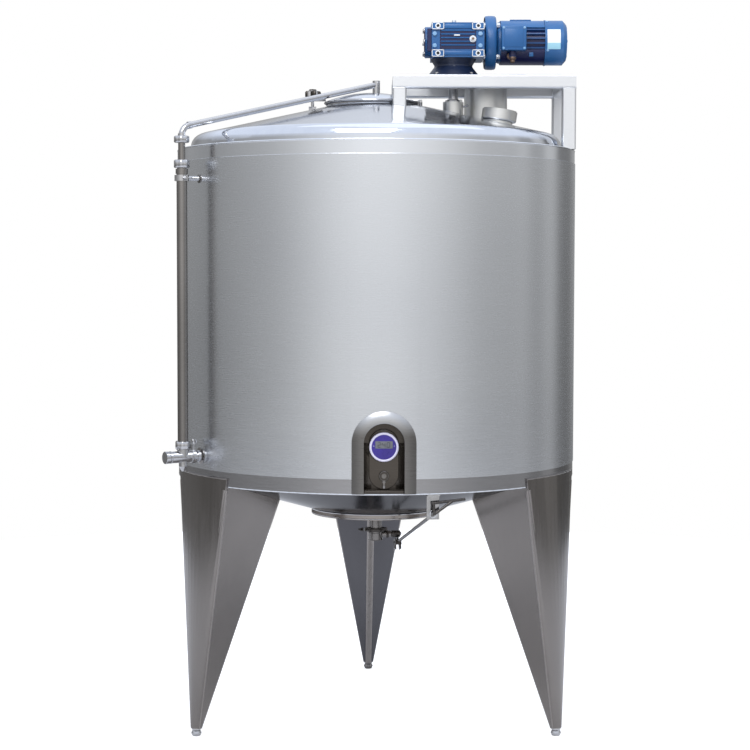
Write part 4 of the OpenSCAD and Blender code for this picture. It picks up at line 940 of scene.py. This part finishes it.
# degrees from straight in front, to the right, and the room's tone there
roomStops = [(-180, 0.42), (-172, 0.30), (-160, 0.32), (-150, 0.22), (-134, 0.32), (-112, 0.29), (-92, 0.35), (-62, 0.46), (-48, 0.56),
             (-26, 0.80), (-8, 0.92), (10, 0.92), (32, 0.76), (60, 0.50), (84, 0.46), (92, 0.54), (100, 0.36),
             (108, 0.36), (114, 0.54), (122, 0.52), (128, 0.18), (146, 0.18), (156, 0.32), (180, 0.42)]
setStops(roomTone.color_ramp, [((a + 180) / 360, value) for a, value in roomStops])
lift = addNode(tree, "ShaderNodeMapRange", inputs={
    "Value": way.outputs["Z"], "From Min": 0.18, "From Max": 0.50, "To Min": 0.0, "To Max": 1.0})
sky = addNode(tree, "ShaderNodeMix", {"data_type": "RGBA"}, {
    "Factor": lift.outputs["Result"], "A": roomTone.outputs["Color"], "B": studio["skyTone"] + (1.0,)})
slope = addNode(tree, "ShaderNodeMapRange", inputs={
    "Value": way.outputs["Z"], "From Min": -0.14, "From Max": 0.08, "To Min": 0.70, "To Max": 1.20})
slopedTone = addNode(tree, "ShaderNodeMix", {"data_type": "RGBA", "blend_type": "MULTIPLY"}, {
    "Factor": 1.0, "A": sky.outputs["Result"], "B": slope.outputs["Result"]})
path = addNode(tree, "ShaderNodeLightPath")
seenWorld = addNode(tree, "ShaderNodeMath", {"operation": "MAXIMUM"},
                    {0: path.outputs["Is Camera Ray"], 1: path.outputs["Is Transmission Ray"]})
shownTone = addNode(tree, "ShaderNodeMix", {"data_type": "RGBA"}, {
    "Factor": seenWorld.outputs[0], "A": slopedTone.outputs["Result"], "B": (1, 1, 1, 1)})
tree.links.new(shownTone.outputs["Result"], background.inputs["Color"])
background.inputs["Strength"].default_value = 1.0


def softLamp(name, spot, aim, size, power):
    data = bpy.data.lights.new(name, "AREA")
    data.shape = "RECTANGLE"
    data.size, data.size_y = size
    data.energy = power
    made = bpy.data.objects.new(name, data)
    made.location = spot
    made.rotation_euler = (Vector(aim) - Vector(spot)).to_track_quat("-Z", "Y").to_euler()
    bpy.context.scene.collection.objects.link(made)


softLamp("keyLamp", (-0.6, -4.6, 6.2), (0, 0, 1.7), (3.2, 3.2), studio["keyPower"])
softLamp("topLamp", (0.5, 0.5, 6.5), (0, 0, 1.5), (4.0, 4.0), studio["topPower"])

camera = {
    "focalPixels": 1837.55, "framePixels": 750, "sensor": 36.0,
    "place": (-0.0123, -6.9965, 1.6959), "pitch": 0.0572, "roll": 0.0015, "yaw": 0.0013,
}
cameraData = bpy.data.cameras.new("photoCamera")
cameraData.sensor_width = camera["sensor"]
cameraData.lens = camera["sensor"] * camera["focalPixels"] / camera["framePixels"]
cameraObject = bpy.data.objects.new("photoCamera", cameraData)
bpy.context.scene.collection.objects.link(cameraObject)
yaw, pitch, roll = camera["yaw"], camera["pitch"], camera["roll"]
ahead = Vector((math.sin(yaw) * math.cos(pitch), math.cos(yaw) * math.cos(pitch), -math.sin(pitch)))
right = Vector((math.cos(yaw), -math.sin(yaw), 0))
up = right.cross(ahead)
rightTurned = math.cos(roll) * right + math.sin(roll) * up
upTurned = -math.sin(roll) * right + math.cos(roll) * up
cameraTurn = Matrix((rightTurned, upTurned, -ahead)).transposed().to_4x4()
cameraObject.matrix_world = Matrix.Translation(camera["place"]) @ cameraTurn
bpy.context.scene.camera = cameraObject
bpy.context.scene.view_settings.view_transform = "Standard"
print("studio set")
